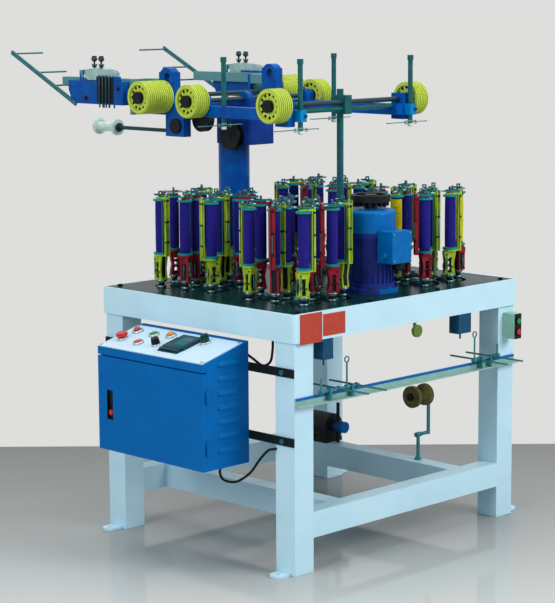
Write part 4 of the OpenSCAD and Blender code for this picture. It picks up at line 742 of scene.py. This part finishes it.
# Caps and screws on the track plate
PLATE_SKIN = TABLE_TOP + 0.1
HEAD_CAP = [(9.2, PLATE_SKIN), (12.4, PLATE_SKIN + 0.1), (12.4, 803), (11, 805), (9.2, 805.4)]
GEAR_CAP = [(6, PLATE_SKIN), (26, PLATE_SKIN), (26, 803), (20, 808), (13, 810), (6, 810)]
CAP_SCREW_RING = 42
caps = []
for head, (hx, hy, _) in HEADS.items():
    caps.append((lathe(HEAD_CAP, at=(hx * HEAD_X, hy * HEAD_Y, 0)), turned_steel))
    for k in range(1, GEARS_EACH + 1):
        _, _, (gx, gy) = slots_of(head, k)
        caps.append((lathe(GEAR_CAP, at=(gx, gy, 0)), plate_enamel))
        caps.append((nut((gx, gy, 810), 9, 8), bright_zinc))
        for a in range(3):
            t = math.radians(30 + 120 * a)
            spot = (gx + CAP_SCREW_RING * math.cos(t), gy + CAP_SCREW_RING * math.sin(t), 0)
            caps.append((lathe(disc(4.5, PLATE_SKIN, 804, 1), at=spot, sides=12), bright_zinc))
for x in (-480, -160, 160, 480):
    for y in (-405, 405):
        caps.append((lathe(disc(8, PLATE_SKIN, 806, 1.4), at=(x, y, 0), sides=16), bed_black))
piece("plate_caps", caps, "frame")


# Cabinet: louvre hoods, display, panel screws and collars, lock
def hood(x, y, z, length, height, out):
    """A louvre pressed outward toward -y, open below."""
    points, faces, nu, nv = [], [], 14, 6
    for i in range(nu + 1):
        u = 2 * i / nu - 1
        for j in range(nv + 1):
            v = j / nv
            push = out * (1 - u ** 6) * math.cos(math.pi / 2 * v) ** 0.8
            points.append((x + u * length / 2, y - 0.15 - push, z + v * height))
    for i in range(nu):
        for j in range(nv):
            a = i * (nv + 1) + j
            faces.append((a, a + nv + 1, a + nv + 2, a + 1))
    return points, faces


def on_panel(shape, u=0, v=0):
    """Lays a shape on the cabinet's panel: its x runs up the slope from u, its y along the panel from v."""
    c, s = math.cos(PANEL_LEAN), math.sin(PANEL_LEAN)
    points = []
    for x, y, z in shape[0]:
        up = z + PANEL_SHEET
        points.append((CABINET_END + (u + x) * c - up * s, v + y, PANEL_FOOT + (u + x) * s + up * c))
    return points, shape[1]


LOUVRES, LOUVRE_X, LOUVRE_FOOT, LOUVRE_SPAN = 7, -610, 373.5, 263
hoods = []
for i in range(LOUVRES):
    foot = LOUVRE_FOOT + i * LOUVRE_SPAN / (LOUVRES - 1)
    hoods.append((hood(LOUVRE_X, CABINET_SIDE, foot, 86, 17, 5.0), cabinet_coat))
piece("cabinet_louvres", hoods, "frame")

# Display: surround, face, window with three red figures, and four keys; then the panel's four screws
trim = [(on_panel(block((33.5, -94, 0.1), (150.5, -4, 3.2), 2)), display_glass),
        (on_panel(block((38, -90, 3.2), (146, -8, 8.8), 2)), display_glass),
        (on_panel(block((74, -82, 8.9), (132, -34, 9.3), 1)), screen_teal)]
for k in range(3):
    trim.append((on_panel(block((112, -72 + 9 * k, 9.4), (120, -67 + 9 * k, 9.7), 0.5)), red_lens))
for v in (-76, -56, -36, -20):
    trim.append((on_panel(block((47, v - 4, 8.9), (57, v + 4, 9.8), 1)), black_abs))
for u, v in ((9, -230), (9, 230), (167, -230), (167, 230)):
    trim.append((on_panel(lathe(disc(4.5, 0.1, 2.6, 0.8), sides=16), u, v), chrome))
# Collars, lower ones under the parts that press down or turn on them; rings have no lids
TALL, LOW = 7, 5.8
for (u, v), r, height in (((125, 109), 16.5, TALL), ((58, 110), 16.5, TALL), ((129, 191), 17, TALL),
                          ((135, 41), 17, TALL), ((69, 197), 15.5, LOW), ((66, 36), 13, LOW),
                          ((132, -118), 16.5, LOW)):
    hole, rim = r - 1.4, r + 1.5
    points, faces = lathe([(hole, 0.1), (rim, 0.1), (rim, height - 3), (r, height - 0.6), (hole, height),
                           (hole, 0.1)], sides=32)
    trim.append((on_panel((points, faces[:-2]), u, v), collar_chrome))
piece("panel_trim", trim, "frame")

# A thin blue strip over the stop bar's upper edge, where the bar shows a dark blue line, and the door's red
# lock over its black handle
LIP, BAR_EDGE_FOOT, BAR_EDGE_END = 0.6, 538.5, 519
bar_edge = [(BAR_FACE - LIP, BAR_EDGE_FOOT), (BAR_FACE, BAR_EDGE_FOOT), (BAR_FACE, BAR_TOP),
            (BAR_BACK, BAR_TOP), (BAR_BACK, BAR_TOP + LIP), (BAR_FACE - LIP, BAR_TOP + LIP)]
piece("stop_bar_blue_strip", [(slab(bar_edge, -BAR_EDGE_END, BAR_EDGE_END, "x"), cowl_coat)],
      "frame")
piece("door_lock", [(lathe(disc(9, -714.6, -708, 1), at=(0, 186, 446), along="x"), red_abs),
                    (block((-709.5, 174, 470), (-704.5, 198, 514), 1), black_abs)],
      "cabinet_door_body")

# Take-up: combs with their rods and screws, cheeks and thumb nuts of the pressure arms
KNOB = [(3, 1516), (7.5, 1519), (10.4, 1524), (10.4, 1528), (7.5, 1533), (3, 1535.8)]
WASHER = [(3.1, 1497), (6, 1498), (9.5, 1501), (6, 1504), (3.1, 1506)]
WINGS = [(-13, 1508), (-5, 1500), (5, 1500), (13, 1508), (12, 1510), (3, 1504), (-3, 1504), (-12, 1510)]
CHEEK_SPAN, CHEEK_STEPS = (10.2, 11.5), 12
SCREW_END = 357.5


def arm_cheek():
    """Side view of a pressure arm's cheek: flat below, heeled behind, arched above."""
    outline = [(575, 1470.6), (664, 1470.6), (668, 1456), (712, 1456), (724, 1464), (725, 1480)]
    for i in range(CHEEK_STEPS + 1):
        t = i / CHEEK_STEPS
        arch = math.sin(math.pi * (0.06 + 0.9 * t)) ** 0.5
        outline.append((722 - 144 * t, 1484 + (13 - 5 * t) * arch))
    return outline


for side, way in (("left", -1), ("right", 1)):
    comb = [(block((way * COMB_X, 573, 1382), (way * (COMB_X + 1.5), 657, 1466)), black_abs)]
    for y in (590, 607, 624, 641):
        comb.append((lathe(disc(2.6, 1366, 1474, 0.8), at=(way * 355.4, y, 0), sides=10), dark_rod))
    near, far = sorted((way * COMB_X, way * SCREW_END))
    for r, y, z in ((6, 548, 1430), (7, 716, 1396)):
        comb.append((lathe(disc(r, near, far, 1), at=(0, y, z), along="x", sides=16), bed_black))
    piece(f"comb_{side}", comb, "frame")
    x = way * PRESSURE_X
    trim = []
    for y in (652, 688):
        trim.append((lathe(KNOB, at=(x, y, 0), sides=20), dark_rod))
        trim.append((lathe(WASHER, at=(x, y, 0), sides=20), dark_rod))
        trim.append((slab([(y + out, z) for out, z in WINGS], x - 2, x + 2, "x"), dark_rod))
    trim.append((slab(arm_cheek(), x - CHEEK_SPAN[1], x - CHEEK_SPAN[0], "x"), pale_shell))
    trim.append((slab(arm_cheek(), x + CHEEK_SPAN[0], x + CHEEK_SPAN[1], "x"), pale_shell))
    piece(f"pressure_trim_{side}", trim, f"pressure_arm_{side}_body")

# Ends of the guide rods: nylon eye, two wire hoops, a nut over the eye and one at the clamp
ROD_EYE = [(4, 1306), (8.6, 1308), (9.4, 1312), (8.2, 1317), (6, 1318)]
ends = []
for x, y in ((-242, -187), (272, -187), (272, 157), (-242, 157)):
    ends.append((lathe(ROD_EYE, at=(x, y, 0), sides=18), white_nylon))
    for out in (-22, 26):
        ends.append((wire(hoop((x + out, y, 1320), 5, "x"), 1.4), bright_zinc))
    ends.append((nut((x, y, 1323), 10, 5), bright_zinc))
    ends.append((nut((x + 8, y - 14.1, 1363), 6, -4, "y") if y < 0 else nut((x, y, 1382), 11, 6), dark_rod))
piece("rod_ends", ends, "frame")

# Roots of the rear beams behind the arms
ROOT_X, ROOT_Y, ROOT_Z = (222.2, 253.8), (455.2, 512.8), (1430, 1462)
roots = [(block((way * ROOT_X[0], ROOT_Y[0], ROOT_Z[0]), (way * ROOT_X[1], ROOT_Y[1], ROOT_Z[1])), beam_steel)
         for way in (-1, 1)]
piece("beam_roots", roots, "frame", edge=1)

# Motor: cable gland, cover screws and foot bolts
GLAND = [(9, 872), (15, 874), (17, 882), (17, 892), (20, 893), (20, 899.8), (9, 899.8)]
FOOT_BOLT_RING = 84
motor_bits = [(lathe(GLAND, at=(14, -364, 0), sides=20), black_abs)]
for x in (-38, 38):
    for z in (908, 992):
        screw = lathe(disc(3.5, -397, -394.1, 0.8), at=(x, 0, z), along="y", sides=12)
        motor_bits.append((screw, bright_zinc))
for k in range(4):
    t = math.radians(45 + 90 * k)
    spot = (FOOT_BOLT_RING * math.cos(t), MOTOR_Y + FOOT_BOLT_RING * math.sin(t), TABLE_TOP + 6)
    motor_bits.append((nut(spot, 8, 14), dark_rod))
piece("motor_bits", motor_bits, "frame")

# Spool: a cone inside each flange, mirrored about the middle of the barrel
SPOOL_MIDDLE = 300
CONE = [(17.7, 3), (34, 19), (36.8, 24), (36.8, 28.4), (17.7, 28.4)]
near = [(r, SPOOL_MIDDLE - h) for r, h in CONE][::-1]
far = [(r, SPOOL_MIDDLE + h) for r, h in CONE]
cones = [(lathe(half, at=(0, SPOOL_Y, SPOOL_Z), along="x"), spool_board) for half in (near, far)]
piece("spool_cones", cones, "supply_spool_body")

# Handwheel: grips round the rim
GRIPS = 18
teeth = [(turned(block((40, -4, 1073), (59, 4, 1086), 1), 360 / GRIPS * k, (0, MOTOR_Y, 0)), black_abs)
         for k in range(GRIPS)]
piece("handwheel_teeth", teeth, "handwheel_body")

# Two red plates on the apron's face
PLATE_BACK, PLATE_FACE = APRON_FACE - 0.1, APRON_FACE - 1.8
plates = [(block((x0, PLATE_FACE, z0), (x1, PLATE_BACK, z1)), red_enamel)
          for x0, x1, z0, z1 in ((-506, -412, 708, 799), (-407, -311, 723, 790))]
piece("apron_plates", plates, "frame", edge=0.5)

# Stage, in metres: grey floor, darker toward the back by painted light falloff, that ends in the backdrop's
# pale tone
FLOOR_HALF, FLOOR_AT, FLOOR_NEAR, FLOOR_END = 30, -0.0006, -2.0, 1.1
PALE = "#DEDEDC"
floor_mesh = bpy.data.meshes.new("floor")
floor_corners = [(x * FLOOR_HALF, y * FLOOR_HALF, FLOOR_AT)
                 for x, y in ((-1, -1), (1, -1), (1, 1), (-1, 1))]
floor_mesh.from_pydata(floor_corners, [], [(0, 1, 2, 3)])
floor = bpy.data.objects.new("floor", floor_mesh)
bpy.context.scene.collection.objects.link(floor)
# Painted concrete, sealed: low gloss, with the light's falloff over distance painted into its colour
floor_paint = bpy.data.materials.new("studio_floor")
floor_paint.use_nodes = True
t = floor_paint.node_tree
t.nodes.clear()
where = add(t, "ShaderNodeTexCoord")
across = add(t, "ShaderNodeVectorMath", {0: where.outputs["Object"], 1: (math.sin(YAW), math.cos(YAW), 0)},
             operation="DOT_PRODUCT")
falloff_depth = add(t, "ShaderNodeMapRange", {"Value": across.outputs["Value"], "From Min": FLOOR_NEAR,
                                       "From Max": FLOOR_END})
ramp = add(t, "ShaderNodeValToRGB", {"Fac": falloff_depth.outputs[0]})
stops = ramp.color_ramp.elements
# These stops darken with distance from the camera side: painted light falloff
stops[0].position, stops[0].color = 0.0, paint("#D6D6D4")
stops[1].position, stops[1].color = 0.30, paint("#C2C2C0")
for at, code in ((0.56, "#A5A5A4"), (0.78, "#8A8A89"), (1.0, "#6D6D6C")):
    e = stops.new(at)
    e.color = paint(code)
matt = add(t, "ShaderNodeBsdfPrincipled", {"Base Color": ramp.outputs["Color"], "Roughness": 0.07,
                                            "Specular IOR Level": 0.12})
pale = add(t, "ShaderNodeEmission", {"Color": paint(PALE), "Strength": 1.0})
beyond = add(t, "ShaderNodeMath", {0: across.outputs["Value"], 1: FLOOR_END + 0.001},
             operation="GREATER_THAN")
both = add(t, "ShaderNodeMixShader", {"Fac": beyond.outputs[0], 1: matt.outputs[0], 2: pale.outputs[0]})
add(t, "ShaderNodeOutputMaterial", {"Surface": both.outputs[0]})
floor_mesh.materials.append(floor_paint)

# Backdrop: pale where the camera and reflections see it, a dimmer blue-white where it lights the machine
FILL, FILL_STRENGTH = "#DAEFF2", 0.52
world = bpy.data.worlds.new("studio")
bpy.context.scene.world = world
world.use_nodes = True
t = world.node_tree
t.nodes.clear()
path = add(t, "ShaderNodeLightPath")
seen = add(t, "ShaderNodeMath", {0: path.outputs["Is Camera Ray"], 1: path.outputs["Is Glossy Ray"]},
           operation="MAXIMUM")
seen = add(t, "ShaderNodeMath", {0: seen.outputs[0], 1: path.outputs["Is Transmission Ray"]},
           operation="MAXIMUM")
fill = add(t, "ShaderNodeBackground", {"Color": paint(FILL), "Strength": FILL_STRENGTH})
back = add(t, "ShaderNodeBackground", {"Color": paint(PALE), "Strength": 1.0})
mixed = add(t, "ShaderNodeMixShader", {"Fac": seen.outputs[0], 1: fill.outputs[0], 2: back.outputs[0]})
add(t, "ShaderNodeOutputWorld", {"Surface": mixed.outputs[0]})

MACHINE_MIDDLE = Vector((0, 0, 0.8))


def soft_lamp(name, at, size, power):
    """A square lamp that faces the machine."""
    lamp = bpy.data.lights.new(name, "AREA")
    lamp.size, lamp.energy = size, power
    o = bpy.data.objects.new(name, lamp)
    bpy.context.scene.collection.objects.link(o)
    o.location = at
    o.rotation_euler = (MACHINE_MIDDLE - Vector(at)).to_track_quat("-Z", "Y").to_euler()


soft_lamp("key", (1.6, -5.2, 3.8), 2.6, 210)
soft_lamp("side", (-5.4, -0.6, 3.2), 2.6, 120)
soft_lamp("overhead", (0.2, 0.4, 5.0), 3.2, 110)
